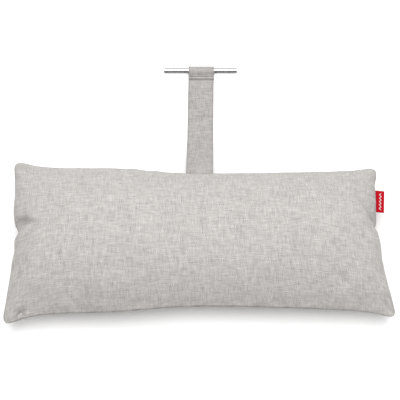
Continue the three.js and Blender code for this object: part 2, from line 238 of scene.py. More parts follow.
def make_weave_group():
    """Inputs: place in metres, yarn pitch, streak depth. Outputs: shade about 1, and height.

    The shade is 1, plus the top yarn's streaks and slubs, plus painted shade between the yarns: how far
    the height is above its mean, so that low places are darker and yarn tops lighter.
    """
    inputs = [("Place", VECTOR, None), ("Pitch", FLOAT, 0.001), ("Streaks", FLOAT, 0.3)]
    tree, graph, start, end = new_group("melange_weave", inputs, [("Shade", FLOAT), ("Height", FLOAT)])
    place = graph.node("ShaderNodeSeparateXYZ", {0: start.outputs["Place"]})
    x = graph.math("DIVIDE", place.outputs[0], start.outputs["Pitch"])
    y = graph.math("DIVIDE", place.outputs[1], start.outputs["Pitch"])
    wave_x = graph.math("SINE", graph.math("MULTIPLY", x, math.pi))
    wave_y = graph.math("SINE", graph.math("MULTIPLY", y, math.pi))
    over = graph.math("GREATER_THAN", graph.math("MULTIPLY", wave_x, wave_y), 0.0)
    yarn_x = graph.math("MULTIPLY", graph.math("FLOOR", x), YARN_SHUFFLE)
    yarn_y = graph.math("MULTIPLY", graph.math("FLOOR", y), YARN_SHUFFLE)
    along_y = graph.math("MULTIPLY", y, STREAK_STRETCH)
    along_x = graph.math("MULTIPLY", x, STREAK_STRETCH)
    warp = graph.noise(graph.vector(yarn_x, along_y, 0.0), 1.0)
    weft = graph.noise(graph.vector(along_x, yarn_y, 5.0), 1.0)
    back = graph.math("SUBTRACT", 1.0, over)
    tone = graph.math("ADD", graph.math("MULTIPLY", warp, over), graph.math("MULTIPLY", weft, back))
    slub_y = graph.noise(graph.vector(graph.math("MULTIPLY", x, SLUB_RATE), along_y, 9.0), 1.0, 1.0)
    slub_x = graph.noise(graph.vector(along_x, graph.math("MULTIPLY", y, SLUB_RATE), 2.0), 1.0, 1.0)
    both = graph.math("SUBTRACT", graph.math("ADD", slub_x, slub_y), 1.0)
    tone = graph.math("ADD", tone, graph.math("MULTIPLY", both, SLUB_DEPTH))
    swing = graph.math("MULTIPLY", graph.math("SUBTRACT", tone, 0.5), start.outputs["Streaks"])
    top_x = graph.math("MULTIPLY", graph.math("ABSOLUTE", wave_x), over)
    top_y = graph.math("MULTIPLY", graph.math("ABSOLUTE", wave_y), back)
    height = graph.math("ADD", top_x, top_y)
    # Painted shade: the weave is darker where it lies low between the yarns, and lighter on their tops.
    painted_gap_shade = graph.math("MULTIPLY", graph.math("SUBTRACT", height, MEAN_HEIGHT), PAINTED_GAP_SHADE)
    graph.put(end.inputs["Shade"], graph.math("ADD", graph.math("ADD", 1.0, swing), painted_gap_shade))
    graph.put(end.inputs["Height"], height)
    return tree


weave_group = make_weave_group()
print("weave group:", len(weave_group.nodes), "nodes")

# %% [markdown]
# Handling and washing let the cloth's shade drift slowly over the face, and this group adds that
# drift. It also darkens cloth a little near its seams and edges, unevenly: that is painted shade, as
# a seam's groove would cast. The canvas, the inner case and the zip's tape use it.

# %% Mottle and painted edge shade group
CLOUD_SCALE = 14.0
EDGE_SHADE_NOISE_SCALE = 60.0
MOTTLE_DEPTH = 0.05


def make_mottle_and_shade_group():
    """Inputs: place, how near an edge it is, and how deep the painted edge shade is. Output: a factor
    about 1: the handling mottle, less painted shade near the edges.
    """
    inputs = [("Place", VECTOR, None), ("Edge", FLOAT, 0.0), ("Painted Shade Depth", FLOAT, 0.1)]
    tree, graph, start, end = new_group("mottle_and_painted_edge_shade", inputs, [("Shade", FLOAT)])
    clouds = graph.noise(start.outputs["Place"], CLOUD_SCALE, 3.0)
    mottle = graph.math("MULTIPLY", graph.math("SUBTRACT", clouds, 0.5), MOTTLE_DEPTH)
    edge_shade_noise = graph.noise(start.outputs["Place"], EDGE_SHADE_NOISE_SCALE, 2.0)
    # Painted shade: cloth is darkened near its seams and edges, made uneven by noise, as a seam's groove
    # would shade it.
    edge = graph.math("MULTIPLY", graph.math("MULTIPLY", start.outputs["Edge"], edge_shade_noise), 2.0)
    dark = graph.math("MULTIPLY", edge, start.outputs["Painted Shade Depth"])
    graph.put(end.inputs["Shade"], graph.math("SUBTRACT", graph.math("ADD", 1.0, mottle), dark))
    return tree


mottle_and_shade_group = make_mottle_and_shade_group()
print("wear group:", len(mottle_and_shade_group.nodes), "nodes")

# %% [markdown]
# ## The finishes
#
# Cloth is matt, so each cloth is rough with a little sheen, which stands for the fibre ends that catch
# the light at its edges. The canvas, the inner case, the zip's tape and the label share the weave and
# differ in pitch, colour and how strong the streaks are.

# %% Cloth materials
CANVAS_PITCH = 1.9 * MM
CANVAS_STREAKS = 1.4
CANVAS_BUMP = 0.25 * MM


def make_cloth(name, colour, pitch, streaks, bump, sheen=0.1, painted_shade_depth=0.1):
    """A woven cloth: its colour shaded by the weave, by a slow mottle and by painted shade near its
    seams and edges, and raised by the weave.
    """
    constants = {"Roughness": 0.92, "Sheen_Weight": sheen, "Specular_IOR_Level": 0.15}
    material, graph, shader = new_material(name, **constants)
    place = graph.node("ShaderNodeUVMap", uv_map="cloth").outputs[0]
    solid = graph.node("ShaderNodeTexCoord").outputs["Object"]
    edge = graph.node("ShaderNodeAttribute", attribute_name="edge").outputs["Fac"]
    threads = {"Place": place, "Pitch": pitch, "Streaks": streaks}
    weave = graph.node("ShaderNodeGroup", threads, node_tree=weave_group)
    mottle_and_shade_inputs = {"Place": solid, "Edge": edge, "Painted Shade Depth": painted_shade_depth}
    painted_edge_shade = graph.node("ShaderNodeGroup", mottle_and_shade_inputs, node_tree=mottle_and_shade_group)
    shade = graph.math("MULTIPLY", weave.outputs["Shade"], painted_edge_shade.outputs["Shade"])
    graph.put(shader.inputs["Base Color"], graph.shaded(colour, shade))
    set_bump(graph, shader, weave.outputs["Height"], bump, 0.5)
    return material


canvas_weave = (CANVAS_PITCH, CANVAS_STREAKS, CANVAS_BUMP)
# The canvas and the strap get the deepest painted shade near their seams and edges.
canvas = make_cloth("melange_canvas", (0.402, 0.384, 0.369), *canvas_weave, painted_shade_depth=0.3)
strap_canvas = make_cloth("strap_canvas", (0.338, 0.323, 0.314), *canvas_weave, painted_shade_depth=0.25)
ticking_cloth = make_cloth("inner_case_cotton", (0.72, 0.70, 0.66), 0.6 * MM, 0.12, 0.1 * MM)
tape_cloth = make_cloth("zip_tape_weave", (0.30, 0.29, 0.285), 0.45 * MM, 0.2, 0.12 * MM)
print("cloths:", canvas.name, strap_canvas.name, ticking_cloth.name, tape_cloth.name)

# %% [markdown]
# The label's mark is a white zigzag. Folding the distance along the ribbon back and forth gives the
# line's height, and a place is white where it lies close to that line. Fibre, thread and nylon are
# plain finishes whose shade and height wander with fine noise.

# %% Label, fibre and thread
LABEL_RED = (0.41, 0.003, 0.012, 1)
LABEL_WHITE = (0.62, 0.6, 0.59, 1)
ZIGZAG_SWING = 3.6 * MM
ZIGZAG_START = 2.4 * MM
ZIGZAG_LINE = 0.8 * MM
ZIGZAG_HALF = 18 * MM


def make_label_cloth():
    """Red satin ribbon with a plain white zigzag down its middle, woven in and not printed."""
    material, graph, shader = new_material("label_ribbon", Roughness=0.85, Specular_IOR_Level=0.1)
    place = graph.node("ShaderNodeUVMap", uv_map="cloth").outputs[0]
    threads = {"Place": place, "Pitch": 0.4 * MM, "Streaks": 0.15}
    weave = graph.node("ShaderNodeGroup", threads, node_tree=weave_group)
    split = graph.node("ShaderNodeSeparateXYZ", {0: place})
    swing = graph.math("PINGPONG", split.outputs[0], ZIGZAG_SWING)
    past = graph.math("SUBTRACT", split.outputs[1], ZIGZAG_START)
    line = graph.math("ABSOLUTE", graph.math("SUBTRACT", past, swing))
    inside = graph.math("LESS_THAN", graph.math("ABSOLUTE", split.outputs[0]), ZIGZAG_HALF)
    mark = graph.math("MULTIPLY", graph.math("LESS_THAN", line, ZIGZAG_LINE), inside)
    colour = graph.mix(mark, LABEL_RED, LABEL_WHITE)
    graph.put(shader.inputs["Base Color"], graph.shaded(colour, weave.outputs["Shade"]))
    set_bump(graph, shader, weave.outputs["Height"], 0.1 * MM)
    return material


def make_speckled(name, colour, roughness, scale, depth, **constants):
    """A plain finish whose shade and height wander with fine noise, as loose fibre and thread do."""
    material, graph, shader = new_material(name, Roughness=roughness, **constants)
    solid = graph.node("ShaderNodeTexCoord").outputs["Object"]
    grain = graph.noise(solid, scale, 4.0)
    shade = graph.math("ADD", 1.0, graph.math("MULTIPLY", graph.math("SUBTRACT", grain, 0.5), depth))
    graph.put(shader.inputs["Base Color"], graph.shaded(colour, shade))
    set_bump(graph, shader, grain, 0.1 * MM, 0.3)
    return material


label_ribbon = make_label_cloth()
fibre_wool = make_speckled("polyester_fibre", (0.8, 0.8, 0.79), 0.95, 300.0, 0.3, Sheen_Weight=0.4)
thread = make_speckled("sewing_thread", (0.085, 0.08, 0.078), 0.7, 3000.0, 0.5, Sheen_Weight=0.2)
coil_nylon = make_speckled("zip_nylon", (0.24, 0.235, 0.23), 0.4, 1500.0, 0.2)
print("details:", label_ribbon.name, fibre_wool.name, thread.name, coil_nylon.name)

# %% [markdown]
# The steel is smooth, with faint turning lines round the rod. The zip's cast zinc is duller. On both,
# the roughness wanders, as fingers leave it.

# %% Metals
LINE_DEPTH = 0.10
SMEAR_DEPTH = 0.14
MEAN_UNEVEN = (LINE_DEPTH + SMEAR_DEPTH) / 2


def make_metal(name, colour, roughness, line_scale):
    """Metal with faint turning lines across X, and a roughness that wanders with handling.

    The roughness is its mean, plus the lines and the smears, less what these two add on average.
    """
    material, graph, shader = new_material(name, Metallic=1.0)
    solid = graph.node("ShaderNodeTexCoord").outputs["Object"]
    split = graph.node("ShaderNodeSeparateXYZ", {0: solid})
    along = graph.math("MULTIPLY", split.outputs[0], line_scale)
    lines = graph.noise(graph.vector(along, 0.0, 0.0), 1.0)
    smears = graph.noise(solid, 90.0, 3.0)
    turned = graph.math("MULTIPLY", lines, LINE_DEPTH)
    uneven = graph.math("ADD", turned, graph.math("MULTIPLY", smears, SMEAR_DEPTH))
    graph.put(shader.inputs["Roughness"], graph.math("ADD", roughness - MEAN_UNEVEN, uneven))
    shade = graph.math("ADD", 0.94, graph.math("MULTIPLY", smears, 0.12))
    graph.put(shader.inputs["Base Color"], graph.shaded(colour, shade))
    set_bump(graph, shader, lines, 0.01 * MM, 0.3)
    return material


polished_steel = make_metal("polished_steel", (0.93, 0.93, 0.94), 0.12, 4000.0)
cast_zinc = make_metal("cast_zinc", (0.42, 0.42, 0.43), 0.36, 2500.0)
print("metals:", polished_steel.name, cast_zinc.name)

# %% [markdown]
# ## Mesh helpers
#
# Nearly every piece is a grid of points worked out by a formula. These helpers turn such a grid into
# a mesh with outward faces and a UV map in metres, so that every weave is at its true scale.

# %% Mesh helpers
def grid_quads(rows, columns, offset=0):
    """The quads of a grid of points: each joins a point to the next in its row and column."""
    ids = np.arange(rows * columns).reshape(rows, columns) + offset
    return np.stack([ids[:-1, :-1], ids[1:, :-1], ids[1:, 1:], ids[:-1, 1:]], -1).reshape(-1, 4)


def add_mesh(name, points, faces, material, uv=None, edge=None):
    """A smooth mesh object. uv gives a pair and edge a number for each point. The faces are an array
    of quads, or a list where their sizes differ."""
    mesh = bpy.data.meshes.new(name)
    face_lists = faces.tolist() if isinstance(faces, np.ndarray) else faces
    mesh.from_pydata(np.asarray(points, float).reshape(-1, 3).tolist(), [], face_lists)
    mesh.update()
    if uv is not None:
        layer = mesh.uv_layers.new(name="cloth")
        corners = np.empty(len(mesh.loops), np.int32)
        mesh.loops.foreach_get("vertex_index", corners)
        layer.data.foreach_set("uv", np.asarray(uv, np.float32).reshape(-1, 2)[corners].ravel())
    if edge is not None:
        attribute = mesh.attributes.new("edge", "FLOAT", "POINT")
        attribute.data.foreach_set("value", np.asarray(edge, np.float32).ravel())
    mesh.shade_smooth()
    mesh.materials.append(material)
    piece = bpy.data.objects.new(name, mesh)
    bpy.context.scene.collection.objects.link(piece)
    return piece


def add_modifier(piece, kind, **settings):
    """A modifier with its settings."""
    modifier = piece.modifiers.new(kind.lower(), kind)
    for name, value in settings.items():
        setattr(modifier, name, value)


def add_smoothing(piece, levels):
    """Subdivides a piece, as much in the view as in the render."""
    add_modifier(piece, "SUBSURF", levels=levels, render_levels=levels)


def smooth_step(t):
    """0 below 0, 1 above 1, and a smooth rise between."""
    t = np.clip(t, 0, 1)
    return t * t * (3 - 2 * t)


def unit(vectors):
    """Vectors scaled to length 1."""
    return vectors / np.maximum(np.linalg.norm(vectors, axis=-1, keepdims=True), 1e-12)


# %% [markdown]
# ## The floor and a dark card
#
# Polished steel shows only what stands around it. On a white floor under a white sky it would be
# white all over, and would disappear. So a dark card, bent to an L, lies under the rod and stands
# behind it. Only reflections see it, and it gives the steel its two dark edge lines.

# %% Floor and card
FLOOR_HALF = 6.0
FLOOR_GAP = 0.2 * MM
FLOOR_SHADE = 0.975
CARD_SHADE = 0.015


def add_floor():
    """A big white floor, a hair below the pillow."""
    material, graph, shader = new_material("white_floor", Roughness=0.9, Specular_IOR_Level=0.0)
    solid = graph.node("ShaderNodeTexCoord").outputs["Object"]
    shade = graph.math("ADD", FLOOR_SHADE, graph.math("MULTIPLY", graph.noise(solid, 3.0), 0.01))
    graph.put(shader.inputs["Base Color"], graph.shaded((1.0, 1.0, 1.0), shade))
    x, y = (c.ravel() * FLOOR_HALF for c in np.meshgrid([-1, 1], [-1, 1], indexing="ij"))
    floor = add_mesh("floor", np.stack([x, y, np.full(4, -FLOOR_GAP)], -1), grid_quads(2, 2), material)


CARD_HALF = 0.5
# The card's corners seen from the side, as y and z.
CARD_PROFILE = np.array([[0.25, -FLOOR_GAP / 2], [0.80, -FLOOR_GAP / 2], [0.80, 0.42]])


def add_card():
    """A dark card bent to an L, which lies under the rod and stands behind it. It shows only in
    reflections, so that bright steel keeps dark edges on a white floor."""
    material, graph, shader = new_material("dark_card", Roughness=1.0, Specular_IOR_Level=0.0)
    solid = graph.node("ShaderNodeTexCoord").outputs["Object"]
    shade = graph.math("ADD", CARD_SHADE, graph.math("MULTIPLY", graph.noise(solid, 9.0), 0.02))
    graph.put(shader.inputs["Base Color"], graph.shaded((1.0, 1.0, 1.0), shade))
    x = np.repeat([-CARD_HALF, CARD_HALF], 3)[:, None]
    points = np.hstack([x, np.tile(CARD_PROFILE, (2, 1))])
    card = add_mesh("dark_card", points, grid_quads(2, 3), material)
    card.visible_camera = card.visible_diffuse = card.visible_shadow = False


add_floor()
add_card()
print("floor: %.0f m across" % (2 * FLOOR_HALF))

# %% [markdown]
# ## The stuffed cover
#
# The cover is two flat rectangles of canvas, sewn together round their edges, turned and filled.
# Cloth hardly stretches, so filling draws the edges in between the corners and throws small puckers
# along the seams. A formula alone misses those, and a cloth simulation finds them: each point knows
# where it lies on the flat cut and starts from a plump shape, and then pressure inside and the cloth's
# own stiffness settle it. The seam and the zip are held where they belong.

# %% The cut
CUT_LENGTH = 0.730
CUT_WIDTH = 0.328
CORNER_CUT = 0.026
LENGTH_CELLS = 146
STRIP_CELLS = 5
MAIN_CELLS = 60

pillow_high = np.array(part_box("front_panel")[1])
HALF_LENGTH = pillow_high[0]
TOP_HEIGHT = pillow_high[2]
LONG_EDGE_PULL = 26 * MM
BACK_EDGE_OUT = 1.5 * MM
FRONT_EDGE_IN = 3.5 * MM
LEFT_END_PULL = 17 * MM
RIGHT_END_PULL = 21 * MM
EDGE_HALF = pillow_high[1] - LONG_EDGE_PULL
SEAM_HEIGHT = 58 * MM
END_DROP = 6 * MM
CORNER_DROP = 17 * MM
# From the front seam the underside slopes this far in and down, in millimetres.
SLOPE_STEP = np.array([33.0, 40.0])
SLOPE = SLOPE_STEP / math.hypot(*SLOPE_STEP)
SLOPE_LENGTH = math.hypot(*SLOPE_STEP) * MM
ZIP_FROM_SEAM = 26 * MM
SLOT_SHUT = 0.267
SLOT_TAPER = 14 * MM
SLOT_HALF = 4.5 * MM
SHUT_HALF = 0.5 * MM
X_SHARE = HALF_LENGTH / (CUT_LENGTH / 2)


def slot_half_width(x):
    """Half the width of the zip's slot at x: open over the zip, closing just past its ends."""
    return SHUT_HALF + (SLOT_HALF - SHUT_HALF) * smooth_step((SLOT_SHUT - np.abs(x)) / SLOT_TAPER)


def cut_grid():
    """Where the points of a panel lie on a plain rectangle: rows along it, columns across. Two columns
    follow the edges of the zip's slot. The corners are rounded afterwards."""
    x = np.linspace(-1, 1, LENGTH_CELLS + 1) * CUT_LENGTH / 2
    centre = -CUT_WIDTH / 2 + ZIP_FROM_SEAM
    half = slot_half_width(x * X_SHARE)[:, None]
    low_side = np.linspace(0, 1, STRIP_CELLS + 1) * (centre - half + CUT_WIDTH / 2) - CUT_WIDTH / 2
    high_side = centre + half + np.linspace(0, 1, MAIN_CELLS + 1) * (CUT_WIDTH / 2 - centre - half)
    y = np.hstack([low_side, high_side])
    return np.stack([np.broadcast_to(x[:, None], y.shape), y], -1)


def rounded(place, half):
    """The grid of a rectangle with its corners rounded: inside a corner's square, (u, v) goes to
    (u sqrt(1 - v v / 2), v sqrt(1 - u u / 2)), which turns the square's far edges into an arc."""
    u, v = np.moveaxis(np.clip(1 - (half - np.abs(place)) / CORNER_CUT, 0, 1), -1, 0)
    bent = np.stack([u * np.sqrt(1 - v * v / 2), v * np.sqrt(1 - u * u / 2)], -1)
    shift = (bent - np.stack([u, v], -1)) * CORNER_CUT
    return place + np.sign(place) * shift


raw_cut = cut_grid()
CUT_HALF = np.array([CUT_LENGTH, CUT_WIDTH]) / 2
cut = rounded(raw_cut, CUT_HALF)
print("cut: %.0f by %.0f mm, %d by %d points" % (CUT_LENGTH / MM, CUT_WIDTH / MM, *cut.shape[:2]))

# %% [markdown]
# The seam's outline isn't quite even: hand-filled cushions never are. Each corner keeps its own small
# shift from the frame's corner, the ends have a tuck where the cloth was caught, and the long edges
# are drawn in most beside the corners.

# %% The outline of the seam
CORNER_SHIFT = {
    (-1, 1): (-8 * MM, 18 * MM),
    (1, 1): (-3 * MM, 4 * MM),
    (-1, -1): (-8 * MM, -9 * MM),
    (1, -1): (16 * MM, 5 * MM),
}
# Tucks in the end seams: which end, where along Y, how wide and how deep.
END_TUCKS = [
    (-1, 0.016, 8 * MM, 7 * MM),
    (-1, -0.022, 10 * MM, 2 * MM),
    (-1, 0.058, 26 * MM, -3.5 * MM),
    (1, 0.020, 9 * MM, 5 * MM),
    (1, 0.112, 12 * MM, 2.5 * MM),
    (1, -0.012, 18 * MM, -3 * MM),
]


def edge_reach(a, left):
    """How much of the way out to its tip a long edge is at a: 0 at its middle and 1 at its corner.
    The left half rises early and stays, and the right half rises mostly beside the corner. Each is a
    broad rise plus a high power of a, which is nearly 0 until the corner."""
    early = 0.32 * smooth_step(a / 0.5) + 0.68 * a ** 9
    late = 0.42 * a ** 2 + 0.58 * a ** 14
    return np.where(left, early, late)


def rounded_shares(s, t):
    """The shares along and across with the corners rounded, at the size of the finished pillow."""
    half = pillow_high[:2]
    return np.moveaxis(rounded(np.stack([s, t], -1) * half, half) / half, -1, 0)


def seam_place(s, t):
    """The mid-surface for s along and t across, each from -1 to 1. The four corner tips are blended
    linearly, then the ends and the long edges are drawn in and the seam drops towards the corners."""
    x = np.zeros_like(s)
    y = np.zeros_like(s)
    for (side, end), (dx, dy) in CORNER_SHIFT.items():
        share = (1 + side * s) * (1 + end * t) / 4
        x += share * (side * HALF_LENGTH + dx)
        y += share * (end * pillow_high[1] + dy)
    a, b = np.abs(s), np.abs(t)
    end_pull = np.where(s > 0, RIGHT_END_PULL, LEFT_END_PULL)
    x -= np.sign(s) * a ** 3 * end_pull * (1 - b ** 1.8)
    bow = 1 - edge_reach(a, s < 0)
    edge_y = np.where(t > 0, EDGE_HALF + BACK_EDGE_OUT, EDGE_HALF - FRONT_EDGE_IN)
    tip_y = np.abs(y) / np.maximum(b, 1e-6)
    y -= np.sign(t) * b * bow * (tip_y - edge_y)
    for side, place, width, depth in END_TUCKS:
        near = np.exp(-((y - place) / width) ** 2) * smooth_step((side * s - 0.8) / 0.2)
        x -= side * depth * near
    z = SEAM_HEIGHT - (0.45 * a ** 2 + 0.55 * a ** 9) * (END_DROP + CORNER_DROP * b ** 3)
    return np.stack([x, y, z], -1)


# %% [markdown]
# The simulation needs a shape to start from, near enough that it only has to settle. The face starts
# as an arc across. The underside starts as a slope, and flattens to a belly on the floor.

# %% The plump shape that the simulation starts from
CROWN_RISE = TOP_HEIGHT - SEAM_HEIGHT
CROWN_RADIUS = (EDGE_HALF ** 2 + CROWN_RISE ** 2) / (2 * CROWN_RISE)
CROWN_ANGLE = math.asin(EDGE_HALF / CROWN_RADIUS)


def start_front():
    """The face: a circular crown across, times a share along that is 1 at the middle and 0 at the
    ends: the 0.62th power of 1 less the sixth power of the distance."""
    s, t = np.moveaxis(raw_cut / CUT_HALF, -1, 0)
    across = np.sin(CROWN_ANGLE * t) / math.sin(CROWN_ANGLE)
    place = seam_place(*rounded_shares(s, across))
    crown = (np.cos(CROWN_ANGLE * t) - math.cos(CROWN_ANGLE)) / (1 - math.cos(CROWN_ANGLE))
    along = (1 - np.minimum(np.abs(s), 1) ** 6) ** 0.62
    place[..., 2] += CROWN_RISE * crown * along
    return place


def start_back():
    """The underside: a straight slope from the seam, rounding into a flat belly on the floor."""
    s, t = np.moveaxis(raw_cut / CUT_HALF, -1, 0)
    run = (1 - np.abs(t)) * CUT_WIDTH / 2
    on_slope = np.minimum(run, SLOPE_LENGTH) * SLOPE[0]
    past = np.maximum(run - SLOPE_LENGTH, 0) / (CUT_WIDTH / 2 - SLOPE_LENGTH)
    inward = on_slope + past * (EDGE_HALF - SLOPE_LENGTH * SLOPE[0])
    place = seam_place(*rounded_shares(s, np.sign(t) * (1 - inward / EDGE_HALF)))
    drop = run * SLOPE[1] / SEAM_HEIGHT
    drop = np.where(drop < 0.6, drop, 1 - 0.4 * np.exp(-(drop - 0.6) / 0.4))
    place[..., 2] *= 1 - drop * (1 - np.abs(s) ** 5)
    return place


ZIP_FLAT_LENGTH = 0.34
ZIP_FLAT_WIDTH = 0.027
ZIP_HELD_LENGTH = 0.27
ZIP_HELD_WIDTH = 11 * MM


def hold_zip(place):
    """Eases the underside onto the zip's flat slope. Returns the places and which are held fast."""
    distance = raw_cut[..., 1] + CUT_WIDTH / 2
    x = raw_cut[..., 0] * X_SHARE
    flat = np.stack([x, -EDGE_HALF + distance * SLOPE[0], SEAM_HEIGHT - distance * SLOPE[1]], -1)
    off_line = np.abs(distance - ZIP_FROM_SEAM)
    share = smooth_step((ZIP_FLAT_LENGTH - np.abs(x)) / 0.07)
    share = share * smooth_step((ZIP_FLAT_WIDTH - off_line) / 0.015)
    held = (off_line < ZIP_HELD_WIDTH) & (np.abs(x) < ZIP_HELD_LENGTH)
    return place + (flat - place) * share[..., None], held


front_start = start_front()
back_start, zip_held = hold_zip(start_back())
print("start: %.0f mm high, %d points held by the zip" % (front_start[..., 2].max() / MM, zip_held.sum()))

# %% [markdown]
# The simulation runs once on the whole cover as one closed bag. A shape key holds the flat cut, so
# that the cloth knows its unstretched size, and the seam's points are pinned. It is read back as plain
# numbers, so that no Cloth modifier is left on any piece.

# %% Cloth simulation
CLOTH_FRAMES = 22
PRESSURE = 4
LARGEST_MOVE = 22 * MM
FLAT_GAP = 0.1 * MM


def sewn_bag(rows, columns):
    """Numbers for the points of the closed bag: the two panels share the points of their seam."""
    count = rows * columns
    front_ids = np.arange(count).reshape(rows, columns)
    back_ids = front_ids + count
    for edge in (np.s_[0, :], np.s_[-1, :], np.s_[:, 0], np.s_[:, -1]):
        back_ids[edge] = front_ids[edge]
    every = np.concatenate([front_ids.ravel(), back_ids.ravel()])
    used, compact = np.unique(every, return_inverse=True)
    front_ids, back_ids = (part.reshape(rows, columns) for part in np.split(compact, 2))
    return used, front_ids, back_ids


def set_up_cloth(bag, pins, rest):
    """Gives the bag its Cloth modifier: light canvas, held at its pins, blown up from inside."""
    cloth = bag.modifiers.new("cloth", "CLOTH")
    settings = cloth.settings
    settings.quality = 6
    settings.mass = 0.3
    settings.tension_stiffness = settings.compression_stiffness = 40
    settings.shear_stiffness = 12
    settings.bending_stiffness = 0.6
    settings.air_damping = 3
    settings.use_pressure = True
    settings.uniform_pressure_force = PRESSURE
    settings.vertex_group_mass = pins.name
    settings.pin_stiffness = 1
    settings.rest_shape_key = rest
    settings.effector_weights.gravity = 0
    cloth.point_cache.frame_start = 1
    cloth.point_cache.frame_end = CLOTH_FRAMES


def inflate(front, back, held):
    """Settles the bag under pressure and returns its front and back panels."""
    used, front_ids, back_ids = sewn_bag(*front.shape[:2])
    quads = grid_quads(*front.shape[:2])
    points = np.concatenate([front.reshape(-1, 3), back.reshape(-1, 3)])[used]
    levels = [np.full(cut.shape[:2], lift) for lift in (FLAT_GAP, -FLAT_GAP)]
    flat = np.concatenate([np.dstack([cut, level]).reshape(-1, 3) for level in levels])[used]
    faces = np.concatenate([front_ids.ravel()[quads], back_ids.ravel()[quads][:, ::-1]])
    bag = add_mesh("inflating_bag", points, faces, canvas)
    bag.shape_key_add(name="start")
    rest = bag.shape_key_add(name="flat")
    rest.data.foreach_set("co", flat.ravel())
    rest.value = 0
    pins = bag.vertex_groups.new(name="pins")
    border = [front_ids[0], front_ids[-1], front_ids[:, 0], front_ids[:, -1], back_ids[held]]
    pins.add(np.unique(np.concatenate(border)).tolist(), 1.0, "REPLACE")
    set_up_cloth(bag, pins, rest)
    scene = bpy.context.scene
    scene.frame_start, scene.frame_end = 1, CLOTH_FRAMES
    for step in range(1, CLOTH_FRAMES + 1):
        scene.frame_set(step)
    settled = bag.evaluated_get(bpy.context.evaluated_depsgraph_get())
    result = np.empty(len(points) * 3)
    settled.data.vertices.foreach_get("co", result)
    move = result.reshape(-1, 3) - points
    length = np.linalg.norm(move, axis=1, keepdims=True)
    print("cloth moved up to %.1f mm, %.1f mm on average" % (length.max() / MM, length.mean() / MM))
    result = points + move * np.minimum(1, LARGEST_MOVE / np.maximum(length, 1e-9))
    bpy.data.objects.remove(bag, do_unlink=True)
    scene.frame_set(1)
    return result[front_ids], result[back_ids]


front, back = front_start, back_start
front, back = inflate(front_start, back_start, zip_held)
print("settled: %.0f mm high" % (front[..., 2].max() / MM))

# %% [markdown]
# Two things are added to the settled cloth. Puckers are short waves across the seam, which
# fade over a finger's width: the thread draws the cloth up as it is sewn. Folds are single valleys
# that run in from a tuck in the seam. Lumps in the filling show as slow swells over the face.

# %% Puckers, folds and swells
PUCKER_DEPTH = 1.7 * MM
PUCKER_REACH = 15 * MM
PUCKER_LENGTHS = (16 * MM, 40 * MM)
SWELL_DEPTH = 1.3 * MM
SWELL_LENGTHS = (0.07, 0.17)
SWELL_FROM_SEAM = 0.05
rng = np.random.default_rng(7)

# Folds on the face: where each starts and ends on the cut, its width and its depth.
FACE_FOLDS = [
    ((-0.365, 0.020), (-0.288, 0.004), 6 * MM, 14.9 * MM),
    ((0.365, 0.018), (0.300, 0.084), 7 * MM, 16.2 * MM),
    ((0.355, 0.000), (0.315, 0.044), 9 * MM, -4.1 * MM),
    ((-0.330, -0.164), (-0.322, -0.126), 7 * MM, 12.2 * MM),
    ((0.352, -0.140), (0.322, -0.092), 9 * MM, 7.4 * MM),
    ((0.264, -0.100), (0.215, -0.042), 14 * MM, 6.1 * MM),
    ((-0.262, -0.164), (-0.270, -0.122), 12 * MM, 4.1 * MM),
    ((-0.206, -0.164), (-0.198, -0.100), 13 * MM, 6.1 * MM),
    ((-0.120, -0.164), (-0.100, -0.118), 15 * MM, 3.4 * MM),
    ((0.010, -0.164), (0.000, -0.112), 13 * MM, 4.1 * MM),
    ((0.074, -0.164), (0.078, -0.108), 12 * MM, 4.3 * MM),
    ((0.140, -0.164), (0.136, -0.116), 12 * MM, 4.6 * MM),
    ((0.210, -0.164), (0.222, -0.122), 11 * MM, 3.2 * MM),
    ((0.365, 0.118), (0.335, 0.104), 9 * MM, 3.2 * MM),
    ((-0.365, -0.060), (-0.338, -0.052), 10 * MM, 2.4 * MM),
]


def surface_normals(grid):
    """The normal at each point of a grid, from its neighbours along both ways."""
    return unit(np.cross(np.gradient(grid, axis=0), np.gradient(grid, axis=1)))


def wavy(place, shortest, longest, count=14):
    """Smooth noise, about -1 to 1: the mean of plane waves with seeded directions and lengths."""
    angle = rng.uniform(0, 2 * np.pi, count)
    rate = 2 * np.pi / rng.uniform(shortest, longest, count)
    phase = rng.uniform(0, 2 * np.pi, count)
    ways = np.stack([np.cos(angle), np.sin(angle)]) * rate
    return np.sin(place @ ways + phase).sum(-1) / math.sqrt(count)


def fold_depth(place, start, end, width, depth):
    """A valley along a line: deepest at its start, fading to its end and to either side."""
    start, end = np.array(start), np.array(end)
    line = end - start
    share = np.clip(((place - start) @ line) / (line @ line), 0, 1)
    off = np.linalg.norm(place - start - share[..., None] * line, axis=-1)
    beyond = (1 - smooth_step(share)) ** 0.8
    return depth * beyond * np.exp(-(off / width) ** 2)


def seam_distance(place):
    """How far a point of the cut is from the nearest seam."""
    return np.min(np.array([CUT_LENGTH, CUT_WIDTH]) / 2 - np.abs(place), axis=-1)


def add_sewing_marks(grid, side, folds):
    """Moves a settled panel along its normals by its puckers, swells and folds. The seam stays."""
    distance = np.clip(seam_distance(raw_cut), 0, None)
    fade = distance / (distance + 4 * MM)
    pucker = wavy(raw_cut, *PUCKER_LENGTHS) * PUCKER_DEPTH * np.exp(-distance / PUCKER_REACH) * fade * 2
    swell = wavy(raw_cut, *SWELL_LENGTHS) * SWELL_DEPTH * smooth_step(distance / SWELL_FROM_SEAM)
    valley = sum(fold_depth(raw_cut, *fold) for fold in folds) if folds else 0
    height = pucker + swell - valley * distance / (distance + 1.5 * MM)
    return grid + side * surface_normals(grid) * height[..., None]


def keep_zip_flat(grid):
    """Puts the held band of the underside back where the zip needs it."""
    return np.where(zip_held[..., None], back_start, grid)


